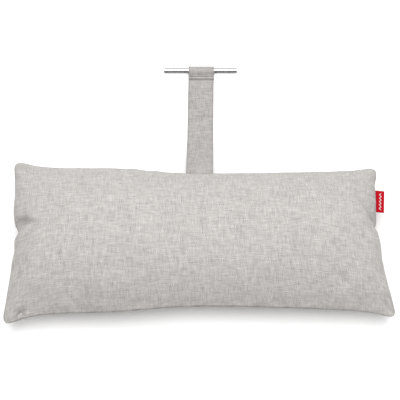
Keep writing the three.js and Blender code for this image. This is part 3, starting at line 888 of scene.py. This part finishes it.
FLOOR_TURN = 1.5 * MM
FLOOR_CLEAR = 0.1 * MM
LIFTED_BELOW = 8 * MM


def rest_on_floor(grid):
    """Lifts every point to the floor or above. The height becomes half of itself plus the root of its
    square and the turn's square, which is a rounded turn instead of a crease."""
    z = grid[..., 2]
    lifted = (z + np.sqrt(z * z + FLOOR_TURN * FLOOR_TURN)) / 2
    low = np.maximum(lifted - 2 * FLOOR_CLEAR, FLOOR_CLEAR)
    return np.dstack([grid[..., :2], np.where(z < LIFTED_BELOW, low, z)])


front = add_sewing_marks(front, 1, FACE_FOLDS)
back = rest_on_floor(keep_zip_flat(add_sewing_marks(back, -1, [])))
print("face: up to %.0f mm high" % (front[..., 2].max() / MM))

# %% [markdown]
# ## Panels with a turned seam
#
# At the seam the two panels turn inwards and lie face to face, so a groove shows between them. Each
# panel is its grid plus rings of points along its border: one rolls over the edge and the next runs
# inside as the allowance. Solidify then gives the canvas its thickness.

# %% Panel builder
CANVAS_THICKNESS = 0.6 * MM
ROLL = 1.2 * MM
ALLOWANCE = 8 * MM
HEM_DROP = 0.5 * MM
HEM_UNDER = 1.05 * MM
SEAM_SHADE_REACH = 3 * MM


def border_loop(rows, columns):
    """The border of a grid, once round: along the low side, up, back and down."""
    ids = np.arange(rows * columns).reshape(rows, columns)
    return np.concatenate([ids[:-1, 0], ids[-1, :-1], ids[:0:-1, -1], ids[0, :0:-1]])


def inward_of(loop_points):
    """The level direction from a border into its panel, square to the border."""
    along = np.roll(loop_points, -1, 0) - np.roll(loop_points, 1, 0)
    return unit(np.stack([-along[:, 1], along[:, 0], np.zeros(len(along))], -1))


def border_rings(grid, loop, side, folded):
    """Three rings of points round a panel: where the cloth rolls over its edge, where it has turned
    in, and its raw edge. Along the folded column they make a narrow hem under the cloth instead."""
    points = grid.reshape(-1, 3)
    seam = points[loop]
    inward = inward_of(seam)
    up = np.array([0, 0, side])
    over_edge = seam + ROLL * up * 0.95
    turned_in = seam + ROLL * (0.15 * up + 1.1 * inward)
    raw_edge = seam + ALLOWANCE * inward + ROLL * 0.15 * up
    rings = [over_edge, turned_in, raw_edge]
    if folded is None:
        return rings
    columns = grid.shape[1]
    under = loop % columns == folded % columns
    next_in = points[loop + (1 if folded == 0 else -1) * under]
    normal = side * surface_normals(grid).reshape(-1, 3)[loop]
    away = unit(seam - next_in + 1e-9)
    hem_rings = [seam, seam - HEM_DROP * normal + 0.2 * MM * away, next_in - HEM_UNDER * normal]
    return [np.where(under[:, None], hem, ring) for hem, ring in zip(hem_rings, rings)]


def add_panel(name, grid, place, side, folded=None):
    """A panel of canvas. side is 1 for the face and -1 for the underside. folded is the column that
    is turned under beside the zip, instead of being sewn into the edge seam. The painted shade near
    the seam falls off with the distance from it: it is e to the power of minus that distance over a
    few millimetres."""
    rows, columns = grid.shape[:2]
    loop = border_loop(rows, columns)
    over_edge, turned_in, raw_edge = border_rings(grid, loop, side, folded)
    points, flat = grid.reshape(-1, 3).copy(), place.reshape(-1, 2)
    points[loop] = over_edge
    outward = unit(flat[loop] - flat.mean(0))
    count, size = len(points), len(loop)
    all_points = np.concatenate([points, turned_in, raw_edge])
    all_flat = np.concatenate([flat, flat[loop] + ROLL * outward, flat[loop] + ALLOWANCE * outward])
    levels = [loop, count + np.arange(size), count + size + np.arange(size)]
    faces = [grid_quads(rows, columns)]
    for near, far in zip(levels[:-1], levels[1:]):
        faces.append(np.stack([near, far, np.roll(far, -1), np.roll(near, -1)], -1))
    faces = np.concatenate(faces)
    if side < 0:
        faces = faces[:, ::-1]
    # Painted shade: the canvas darkens towards its seam, falling off over a few millimetres.
    painted_edge_shade = np.exp(-np.clip(seam_distance(all_flat), 0, 1) / SEAM_SHADE_REACH)
    piece = add_mesh(name, all_points, faces, canvas, all_flat, painted_edge_shade)
    add_modifier(piece, "SOLIDIFY", thickness=CANVAS_THICKNESS, offset=-1)
    add_smoothing(piece, 1)
    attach(piece, "pillow")
    return piece


main_part = np.s_[:, STRIP_CELLS + 1:]
strip_part = np.s_[:, :STRIP_CELLS + 1]
cover_front = add_panel("cover_front", front, cut, 1)
cover_main = add_panel("cover_back_main", back[main_part], cut[main_part], -1, 0)
cover_strip = add_panel("cover_back_strip", back[strip_part], cut[strip_part], -1, STRIP_CELLS)
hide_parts("front_panel")
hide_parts("back_panel_main")
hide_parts("back_panel_strip")
print("panels:", cover_front.name, cover_main.name, cover_strip.name)

# %% [markdown]
# ## The inner case and its filling
#
# Inside the cover is a plain cotton case, and in that the loose fibre. Both follow the cover at a
# fixed depth: every point moves towards the surface halfway between face and underside. Near the
# seams cover and case would run into each other, so the inner layers end a little before them.

# %% Inner case and filling
CASE_DEPTH = 6 * MM
CASE_THICKNESS = 0.4 * MM
CASE_LIFT = 0.45 * MM
FILL_DEPTH = 8.8 * MM
LUMP_DEPTH = 0.8 * MM
LUMP_LENGTHS = (0.02, 0.05)
STEEPEST = 0.4
CASE_KEEP = (0.975, 0.95)
FILL_KEEP = (0.962, 0.925)
middle = (front + back) / 2


def drawn_in(grid, keep):
    """The same surface without its border: every row and column is read between its neighbours at a
    place drawn towards the middle, so that the layer's edge still lies on the surface."""
    for axis, share in enumerate(keep):
        last = grid.shape[axis] - 1
        at = (np.arange(last + 1) - last / 2) * share + last / 2
        low = np.minimum(at.astype(int), last - 1)
        part = np.expand_dims(at - low, (1, 2) if axis == 0 else (0, 2))
        grid = np.take(grid, low, axis) * (1 - part) + np.take(grid, low + 1, axis) * part
    return grid


def inner_layer(panel, depth, keep, lift):
    """A panel moved towards the middle surface, never past it, and then lifted. The depth is measured
    square to the cloth: the way moved is the depth over the cosine of the angle between the two."""
    core, outside = drawn_in(middle, keep), drawn_in(panel, keep)
    reach = outside - core
    height = np.linalg.norm(reach, axis=-1, keepdims=True)
    rise = np.abs(np.sum(reach * surface_normals(outside), -1, keepdims=True))
    cosine = rise / np.maximum(height, 1e-9)
    kept = np.maximum(height - depth / np.maximum(cosine, STEEPEST), 0)
    return core + reach / np.maximum(height, 1e-9) * kept + [0, 0, lift]


def add_case(name, panel, side, node):
    """Half of the inner case, cut from cotton."""
    layer = inner_layer(panel, CASE_DEPTH, CASE_KEEP, side * CASE_LIFT)
    faces = grid_quads(*layer.shape[:2])
    # Painted shade near the case's seams, as on the cover.
    painted_edge_shade = np.exp(-np.clip(seam_distance(raw_cut), 0, 1) / (6 * MM))
    piece = add_mesh(name, layer, faces if side > 0 else faces[:, ::-1], ticking_cloth, cut, painted_edge_shade)
    add_modifier(piece, "SOLIDIFY", thickness=CASE_THICKNESS, offset=-1)
    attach(piece, "pillow")
    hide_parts(node)


def add_filling():
    """The fibre: one closed lumpy body between the two halves of the case."""
    lumps = wavy(raw_cut, *LUMP_LENGTHS) * LUMP_DEPTH
    sides = []
    for panel, side in ((front, 1), (back, -1)):
        layer = inner_layer(panel, FILL_DEPTH, FILL_KEEP, 0)
        open_share = smooth_step(seam_distance(raw_cut) / 0.03)[..., None]
        sides.append(layer + side * np.array([0, 0, 1]) * (lumps[..., None] * open_share))
    used, front_ids, back_ids = sewn_bag(*raw_cut.shape[:2])
    points = np.concatenate([part.reshape(-1, 3) for part in sides])[used]
    quads = grid_quads(*raw_cut.shape[:2])
    faces = np.concatenate([front_ids.ravel()[quads], back_ids.ravel()[quads][:, ::-1]])
    piece = add_mesh("fibre_filling", points, faces, fibre_wool)
    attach(piece, "pillow")
    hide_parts("fibre_fill")


add_case("inner_case_front", front, 1, "ticking_front")
add_case("inner_case_back", back, -1, "ticking_back")
add_filling()
print("inside: case and filling")

# %% [markdown]
# ## The zip
#
# A coil zip has two woven tapes, and on the edge of each a nylon spiral. The two spirals mesh at the
# middle. Each is a real spiral here, because its fine rungs are what makes a zip look like one.

# %% Zip frame
zip_y, zip_z = np.array([-EDGE_HALF, SEAM_HEIGHT]) + ZIP_FROM_SEAM * SLOPE * [1, -1]
ZIP_CENTRE = np.array([0, zip_y, zip_z])
ZIP_ACROSS = np.array([0, -SLOPE[0], SLOPE[1]])
ZIP_OUT = np.array([0, -SLOPE[1], -SLOPE[0]])
tape_low, tape_high = (np.array(corner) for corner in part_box("zip_tape_upper"))
coil_low, coil_high = (np.array(corner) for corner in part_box("zip_coil_upper"))


def zip_place(x, across, out):
    """Points beside the zip: x along it, across towards the seam, and out from the cloth."""
    x, across, out = np.broadcast_arrays(x, across, out)
    along = np.stack([x, 0 * x, 0 * x], -1)
    return ZIP_CENTRE + along + across[..., None] * ZIP_ACROSS + out[..., None] * ZIP_OUT


def closed_sweep(sections):
    """Points and faces of a closed body through rings of points. Each ring is a row, and runs the way
    that makes the faces point outwards. Each end is a fan of triangles round one more point, at the
    mean of the end's ring."""
    rings, size = sections.shape[:2]
    points = np.concatenate([sections.reshape(-1, 3), sections[[0, -1]].mean(1)])
    ids = np.arange(rings * size).reshape(rings, size)
    nxt = np.roll(ids, -1, 1)
    sides = np.stack([ids[:-1], ids[1:], nxt[1:], nxt[:-1]], -1).reshape(-1, 4)
    start, end = rings * size, rings * size + 1
    start_cap = [[start, a, b] for a, b in zip(ids[0], nxt[0])]
    end_cap = [[end, b, a] for a, b in zip(ids[-1], nxt[-1])]
    return points, sides.tolist() + start_cap + end_cap


def swept_flat(along, across):
    """The flat place of each point of a closed sweep, with its two end points last."""
    flat = np.stack(np.broadcast_arrays(along, across), -1).reshape(-1, 2)
    return np.concatenate([flat, flat[:2]])


# %% Tapes
TAPE_INNER = 0.6 * MM
TAPE_TOP = -1.8 * MM
TAPE_BOTTOM = -2.3 * MM
# The tape's section, once round: how far across it, and how thick it is above and below its middle.
TAPE_ACROSS = np.array([0, 0.4, 3.0, 11.0, 12.2, 12.7, 13.0, 12.7, 12.2, 11.0, 3.0, 0.4]) * MM
TAPE_BEAD = np.array([0, 0.24, 0.24, 0.24, 0.25, 0.22, 0, -0.22, -0.25, -0.24, -0.24, -0.24]) * MM


def add_tape(name, way, node):
    """A woven tape: a thin band with a rounded bead along its outer edge."""
    across = TAPE_INNER + TAPE_ACROSS
    out = (TAPE_TOP + TAPE_BOTTOM) / 2 + TAPE_BEAD
    x = np.linspace(tape_low[0], tape_high[0], 121)[:, None]
    sections = zip_place(x, way * across, out)
    if way > 0:
        sections = sections[:, ::-1]
        across = across[::-1]
    points, faces = closed_sweep(sections)
    piece = add_mesh(name, points, faces, tape_cloth, swept_flat(x, across), np.zeros(len(points)))
    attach(piece, "pillow")
    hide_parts(node)


add_tape("zip_tape_high", 1, "zip_tape_upper")
add_tape("zip_tape_low", -1, "zip_tape_lower")
print("tapes: %.0f mm long" % ((tape_high[0] - tape_low[0]) / MM))

# %% Coils
COIL_PITCH = 1.3 * MM
COIL_STEPS = 10
WIRE_SIDES = 5
WIRE_RADIUS = 0.27 * MM
COIL_MIDDLE = 1.1 * MM
COIL_REACH = 1.12 * MM
COIL_RISE = 0.42 * MM
COIL_LEVEL = -0.8 * MM


def add_coil(name, way, shift, node):
    """A nylon spiral: a thin tube wound round a flat oval, which reaches just past the middle line.
    Across it follows the cosine of the turned angle, and outwards the sine."""
    length = coil_high[0] - coil_low[0] - 2 * WIRE_RADIUS - COIL_PITCH
    turns = int(length / COIL_PITCH)
    angle = np.linspace(0, 2 * np.pi * turns, turns * COIL_STEPS + 1)
    x = coil_low[0] + WIRE_RADIUS + COIL_PITCH * (angle / (2 * np.pi) + shift)
    across = way * (COIL_MIDDLE - COIL_REACH * np.cos(angle))
    path = zip_place(x, across, COIL_LEVEL + COIL_RISE * np.sin(angle))
    along = unit(np.gradient(path, axis=0))
    sideways = unit(path - zip_place(x, way * COIL_MIDDLE, COIL_LEVEL))
    sideways = unit(sideways - (sideways * along).sum(-1, keepdims=True) * along)
    other = np.cross(along, sideways)
    turn = np.linspace(0, 2 * np.pi, WIRE_SIDES, endpoint=False)[:, None]
    ring = np.cos(turn) * sideways[:, None] + np.sin(turn) * other[:, None]
    points, faces = closed_sweep((path[:, None] + WIRE_RADIUS * ring)[:, ::-1])
    piece = add_mesh(name, points, faces, coil_nylon)
    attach(piece, "pillow")
    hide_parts(node)
    print(name, turns, "turns")


add_coil("zip_spiral_high", 1, 0.0, "zip_coil_upper")
add_coil("zip_spiral_low", -1, 0.5, "zip_coil_lower")

# %% [markdown]
# The stops, the slider and its pull are small castings. Their frame solids already have the right
# shape, so each gets a copy with its edges rounded, as a casting's edges are.

# %% Cast zip parts
CAST_ROUNDING = 0.18 * MM


def add_casting(name, node, body):
    """A frame solid's copy with merged points and rounded edges."""
    mesh = frame["nodes"][node].data.copy()
    mesh.name = name
    mesh.materials.clear()
    mesh.materials.append(cast_zinc)
    piece = bpy.data.objects.new(name, mesh)
    bpy.context.scene.collection.objects.link(piece)
    add_modifier(piece, "WELD", merge_threshold=0.01 * MM)
    rounding = {"width": CAST_ROUNDING, "segments": 2, "limit_method": "ANGLE"}
    add_modifier(piece, "BEVEL", harden_normals=True, **rounding)
    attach(piece, body)
    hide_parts(node)


add_casting("closed_end_stop", "zip_closed_stop", "pillow")
add_casting("open_end_stop", "zip_open_stop", "pillow")
add_casting("slider_body", "zip_slider", "slider")
add_casting("slider_pull", "zip_pull", "pull_tab")
print("castings: two stops, slider and pull")

# %% [markdown]
# A row of stitches is one short thread, repeated. Each dives into the cloth at both ends and swells a
# little at its middle, as a pulled thread does between two needle holes.

# %% Stitches
THREAD_RADIUS = 0.28 * MM
STITCH_RISE = 0.2 * MM
STITCH_STEPS = 6
STITCH_SIDES = 6


def add_stitches(name, starts, ends, ups, body, radius=THREAD_RADIUS):
    """Straight stitches. A stitch's height is a half sine wave along it, less a constant that sinks
    its ends, and its radius is 0.6 of the thread's plus 0.4 of it times the same wave."""
    share = np.linspace(0, 1, STITCH_STEPS)[:, None]
    turn = np.linspace(0, 2 * np.pi, STITCH_SIDES, endpoint=False)[:, None]
    wave = np.sin(np.pi * share)
    wide = np.cross(ups, unit(ends - starts))
    centre = starts[:, None] + (ends - starts)[:, None] * share
    centre = centre + ups[:, None] * (wave * 2 - 1) * STITCH_RISE
    ring = np.cos(turn) * wide[:, None, None] + np.sin(turn) * ups[:, None, None]
    tubes = centre[:, :, None] + ring * (radius * (0.6 + 0.4 * wave))[:, None]
    points, faces = [], []
    for tube in tubes:
        these, quads = closed_sweep(tube)
        faces += [[i + len(points) * len(these) for i in face] for face in quads]
        points.append(these)
    piece = add_mesh(name, np.concatenate(points), faces, thread)
    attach(piece, body)


STITCH_LENGTH = 3.0 * MM
STITCH_SPACING = 4.0 * MM
TOPSTITCH_HALF = 0.262
TOPSTITCH_ACROSS = SLOT_HALF + 3.0 * MM
TOPSTITCH_OUT = 0.1 * MM


def add_zip_topstitch(name, way):
    """A row of stitches beside the slot, through the canvas and the tape."""
    x = np.arange(-TOPSTITCH_HALF, TOPSTITCH_HALF - STITCH_LENGTH, STITCH_SPACING)
    starts = zip_place(x, way * TOPSTITCH_ACROSS, TOPSTITCH_OUT)
    ends = zip_place(x + STITCH_LENGTH, way * TOPSTITCH_ACROSS, TOPSTITCH_OUT)
    add_stitches(name, starts, ends, np.broadcast_to(ZIP_OUT, starts.shape), "pillow")


add_zip_topstitch("zip_stitches_high", 1)
add_zip_topstitch("zip_stitches_low", -1)
print("topstitching beside the zip")

# %% [markdown]
# ## The strap
#
# The strap is canvas folded in two, and so it has soft round edges. It leaves the back seam, sags to
# the floor, runs flat to the rod, goes round it and is sewn down as a flap. One flat profile is
# carried along one path, then split where it must bend. The path's fixed places are the frame's two
# strap joints and its rod.

# %% Strap path
STRAP_THICKNESS = 1.8 * MM
rod_low, rod_high = (np.array(corner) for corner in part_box("toggle_rod"))
strap_low, strap_high = (np.array(corner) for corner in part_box("strap_upper"))
STRAP_WIDTH = strap_high[0] - strap_low[0]
STRAP_X = (strap_high[0] + strap_low[0]) / 2
STRAP_LEAN = 2 * MM
ROD_Y, ROD_Z = (rod_low[1:] + rod_high[1:]) / 2
joints = {joint["name"]: joint for joint in frame["joints"]}
FOLD_Y, FOLD_Z = joints["strap_fold"]["pos_m"][1:]
BEND_Y = joints["strap_bend"]["pos_m"][1]
LOOP_RADIUS = ROD_Z - STRAP_THICKNESS / 2
LOOP_SLACK = 1.5
STRAP_ROOT_Y = FOLD_Y - 10 * MM
SEAM_EXIT_Y = FOLD_Y - 2 * MM
TOUCH_Y = BEND_Y + 4 * MM
STRAP_GAP = 0.1 * MM
FLAP_END = 20 * MM
FLAP_STITCH = 13 * MM


def resample(path, step):
    """Points a fixed step apart along a path."""
    length = np.concatenate([[0], np.cumsum(np.linalg.norm(np.diff(path, axis=0), axis=1))])
    count = int(round(length[-1] / step)) + 1
    at = np.linspace(0, length[-1], count)
    return np.stack([np.interp(at, length, path[:, k]) for k in range(2)], -1), at


def bezier(a, b, c, d, count):
    """Points of a cubic curve from a to d, which leaves a towards b and reaches d from c."""
    t = np.linspace(0, 1, count)[:, None]
    return (1 - t) ** 3 * a + 3 * (1 - t) ** 2 * t * b + 3 * (1 - t) * t * t * c + t ** 3 * d


def strap_path():
    """The strap's middle line as (y, z): level out of the seam, down to the floor in a soft S, flat
    to the rod, round it in an arc of its loop's radius, and down to the flap's end. The loop hangs
    slack, so its arc is stretched along Y."""
    lie = STRAP_THICKNESS / 2 + STRAP_GAP
    root = np.array([[STRAP_ROOT_Y, FOLD_Z], [SEAM_EXIT_Y, FOLD_Z]])
    out = root[1]
    touch = np.array([TOUCH_Y, lie])
    sag = bezier(out, out + [24 * MM, 0], touch - [52 * MM, -3 * MM], touch, 60)[1:]
    start = np.array([ROD_Y, lie])
    flat = np.linspace(touch, start, 40)[1:]
    turn = np.linspace(-np.pi / 2, np.pi * 0.62, 50)[1:, None]
    loop = np.array([ROD_Y, ROD_Z]) + LOOP_RADIUS * np.hstack([np.cos(turn) * LOOP_SLACK, np.sin(turn)])
    loop[:, 1] = np.maximum(loop[:, 1], lie)
    down = np.array([ROD_Y - FLAP_STITCH, lie + STRAP_THICKNESS + STRAP_GAP])
    leave = unit(loop[-1] - loop[-2])
    flap = bezier(loop[-1], loop[-1] + leave * 5 * MM, down + [5 * MM, 0], down, 24)[1:]
    end = np.linspace(down, down - [FLAP_END - FLAP_STITCH, 0], 8)[1:]
    return np.concatenate([root, sag, flat, loop, flap, end])


strap_line, strap_run = resample(strap_path(), 1.5 * MM)
print("strap: %.0f mm of canvas, %.0f mm wide" % (strap_run[-1] / MM, STRAP_WIDTH / MM))

# %% Strap pieces
EDGE_POINTS = 7
FACE_POINTS = 16
FOLD_DIP = 0.12 * MM
SEWN_DIP = 0.45 * MM
SEWN_WIDTH = 1.1 * MM
RIPPLE = 0.25 * MM
RIPPLE_RUN = 0.027
STRAP_EDGE_SHADE_REACH = 1.8 * MM


def strap_profile():
    """Half-widths and heights round the strap's section: two flat faces joined by round edges. The
    faces dip a little beside each edge, where the folded canvas is thicker."""
    half, thick = STRAP_WIDTH / 2, STRAP_THICKNESS / 2
    across = np.linspace(-1, 1, FACE_POINTS) * (half - thick)
    dip = FOLD_DIP * np.exp(-((half - np.abs(across) - 2.6 * MM) / (0.9 * MM)) ** 2)
    turn = np.linspace(np.pi / 2, -np.pi / 2, EDGE_POINTS)[1:-1]
    right = np.stack([half - thick + thick * np.cos(turn), thick * np.sin(turn)], -1)
    top = np.stack([across, thick - dip], -1)
    bottom = np.stack([across[::-1], -thick + dip], -1)
    return np.concatenate([top, right, bottom, right[::-1] * [-1, 1]])


def add_strap(name, first, last, node):
    """The strap between two points of its path, as one closed band. It leans a little to one side
    along its run. Its upper face dips at the seam that closes the loop, by a bell curve of the
    distance from that seam, and it ripples where it hangs free."""
    part = slice(first, last + 1)
    line, run = strap_line[part], strap_run[part, None]
    profile = strap_profile()
    way = unit(np.gradient(strap_line, axis=0))[part]
    x, lift = profile[:, 0], profile[:, 1]
    from_seam = strap_run[-1] - run - (FLAP_END - FLAP_STITCH)
    lift = lift - SEWN_DIP * np.exp(-(from_seam / SEWN_WIDTH) ** 2) * (lift > 0)
    y = line[:, :1] - way[:, 1:] * lift
    z = line[:, 1:] + way[:, :1] * lift
    clear = smooth_step((z - 6 * MM) / (10 * MM)) * smooth_step((FOLD_Z - z) / (8 * MM))
    z = z + RIPPLE * np.sin(run / RIPPLE_RUN + x * 40) * clear
    lean = (run / strap_run[-1] * 2 - 1) * STRAP_LEAN
    points, faces = closed_sweep(np.stack([x + STRAP_X + lean, y, z], -1))
    perimeter = np.cumsum(np.linalg.norm(np.diff(profile, axis=0, prepend=profile[:1]), axis=1))
    # Painted shade: the strap darkens towards its two folded sides.
    painted_edge_shade = np.exp(-(STRAP_WIDTH / 2 - np.abs(x)) / STRAP_EDGE_SHADE_REACH)
    painted_edge_shade = np.append(np.tile(painted_edge_shade, len(line)), [0, 0])
    piece = add_mesh(name, points, faces, strap_canvas, swept_flat(perimeter, run), painted_edge_shade)
    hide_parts(node)
    return piece


def path_index(y):
    """The first point of the strap's path that lies past y."""
    return int(np.argmax(strap_line[:, 0] > y))


SPLIT_LOW = path_index(0.19)
SPLIT_HIGH = path_index(0.285)
strap_root = add_strap("strap_root", 0, SPLIT_LOW, "strap_base")
strap_middle = add_strap("strap_middle", SPLIT_LOW, SPLIT_HIGH, "strap_lower")
strap_loop = add_strap("strap_loop", SPLIT_HIGH, len(strap_line) - 1, "strap_upper")
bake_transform(strap_root)
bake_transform(strap_middle)
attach(strap_loop, "upper_strap")
print("strap pieces:", strap_root.name, strap_middle.name, strap_loop.name)

# %% [markdown]
# Two rows of thicker thread close the strap's loop: one beside the rod, and one along the flap's end.

# %% Strap stitches
FLAP_STITCH_LENGTH = 2.8 * MM
FLAP_STITCHES = 13
FLAP_THREAD = 0.7 * MM
FLAP_MARGIN = 2 * MM


def add_strap_stitches(name, from_rod):
    """A row of heavy stitches across the flap, at a distance from the rod."""
    reach = STRAP_WIDTH / 2 - FLAP_MARGIN
    x = np.linspace(-reach, reach - FLAP_STITCH_LENGTH, FLAP_STITCHES) + STRAP_X + STRAP_LEAN
    top = STRAP_THICKNESS * 2 + 3 * STRAP_GAP
    starts = np.stack([x, np.full(FLAP_STITCHES, ROD_Y - from_rod), np.full(FLAP_STITCHES, top)], -1)
    ups = np.broadcast_to(np.array([0.0, 0.0, 1.0]), starts.shape)
    add_stitches(name, starts, starts + [FLAP_STITCH_LENGTH, 0, 0], ups, "upper_strap", FLAP_THREAD)


add_strap_stitches("flap_stitches", FLAP_STITCH)
add_strap_stitches("flap_end_stitches", FLAP_END - 1.6 * MM)
print("flap sewn down")

# %% [markdown]
# ## The rod
#
# A turned steel rod is a profile spun round X: two flat ends, a small eased edge, and a straight side.

# %% Rod
ROD_SIDES = 64
ROD_CHAMFER = 0.6 * MM
# How far the eased edge is from the rod's end and from its side, as shares of the chamfer.
EASE_ALONG = np.array([0, 0.1, 0.35, 1])
EASE_IN = np.array([1, 0.35, 0.1, 0])


def add_rod():
    """The rod's profile, as a distance along X and a radius, turned round its axis."""
    radius = (rod_high[2] - rod_low[2]) / 2
    half = (rod_high[0] - rod_low[0]) / 2
    end_x, end_r = half - ROD_CHAMFER * EASE_ALONG, radius - ROD_CHAMFER * EASE_IN
    side = np.concatenate([[-0.9], np.linspace(-0.8, 0.8, 9), [0.9]]) * half
    x = np.concatenate([[-half], -end_x, side, end_x[::-1], [half]])
    core = [radius * 0.7]
    r = np.concatenate([core, end_r, np.full(len(side), radius), end_r[::-1], core])[:, None]
    x = (x + (rod_low[0] + rod_high[0]) / 2)[:, None]
    turn = np.linspace(0, 2 * np.pi, ROD_SIDES, endpoint=False)
    rings = [x + 0 * turn, ROD_Y + r * np.cos(turn), ROD_Z + r * np.sin(turn)]
    points, faces = closed_sweep(np.stack(rings, -1)[:, ::-1])
    piece = add_mesh("steel_rod", points, faces, polished_steel)
    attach(piece, "rod")
    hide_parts("toggle_rod")


add_rod()
print("rod: %.0f mm across its ends" % ((rod_high[0] - rod_low[0]) / MM))

# %% [markdown]
# ## The side label
#
# A woven ribbon is folded in two and caught in the end seam. It is a thin loop, open at its two
# sides, with a round fold at its outer end.

# %% Label
label_high = np.array(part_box("side_label")[1])
LABEL_ROOT = np.array(joints["label_flex"]["pos_m"])
LABEL_ALONG = unit(np.array(joints["label_flex"]["axis"], float))
LABEL_OUT = unit(np.array([1.0, 0, 0]) - LABEL_ALONG[0] * LABEL_ALONG)
LABEL_WIDTH = 46 * MM
LABEL_REACH = (label_high[0] - LABEL_ROOT[0] - LABEL_ALONG[0] * LABEL_WIDTH) / LABEL_OUT[0]
RIBBON = 0.35 * MM
LABEL_GAP = 0.2 * MM
LABEL_TUCK = 7 * MM


def ribbon_side(radius, reach):
    """One side of the ribbon's section, as distances out and up: along below, round a half circle at
    the fold, and back above."""
    turn = np.linspace(-np.pi / 2, np.pi / 2, 9)
    arc = np.stack([reach - RIBBON + radius * np.cos(turn), radius * np.sin(turn)], -1)
    low = np.stack([np.linspace(0, reach - RIBBON, 8)[:-1], np.full(7, -radius)], -1)
    return np.concatenate([low, arc, (low * [1, -1])[::-1]])


def add_label():
    """The ribbon's path goes out along the lower face, round the fold and back above it. Its section
    is thin, and it is carried along the label's width."""
    up = np.cross(LABEL_OUT, LABEL_ALONG)
    reach = LABEL_REACH + LABEL_TUCK - RIBBON
    inner = LABEL_GAP / 2
    section = np.concatenate([ribbon_side(inner + RIBBON, reach), ribbon_side(inner, reach)[::-1]])
    out, rise = section[:, :1], section[:, 1:]
    seam_middle = LABEL_ROOT + LABEL_ALONG * LABEL_WIDTH / 2
    steps = np.linspace(-0.5, 0.5, 25) * LABEL_WIDTH
    lines = seam_middle - LABEL_OUT * LABEL_TUCK + steps[:, None, None] * LABEL_ALONG
    points, faces = closed_sweep(lines + out * LABEL_OUT + rise * up)
    flat = swept_flat(steps[:, None], out.T - LABEL_TUCK)
    piece = add_mesh("side_label_ribbon", points, faces, label_ribbon, flat, np.zeros(len(points)))
    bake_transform(piece)
    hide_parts("side_label")


add_label()
print("label: %.0f mm wide" % (LABEL_WIDTH / MM))
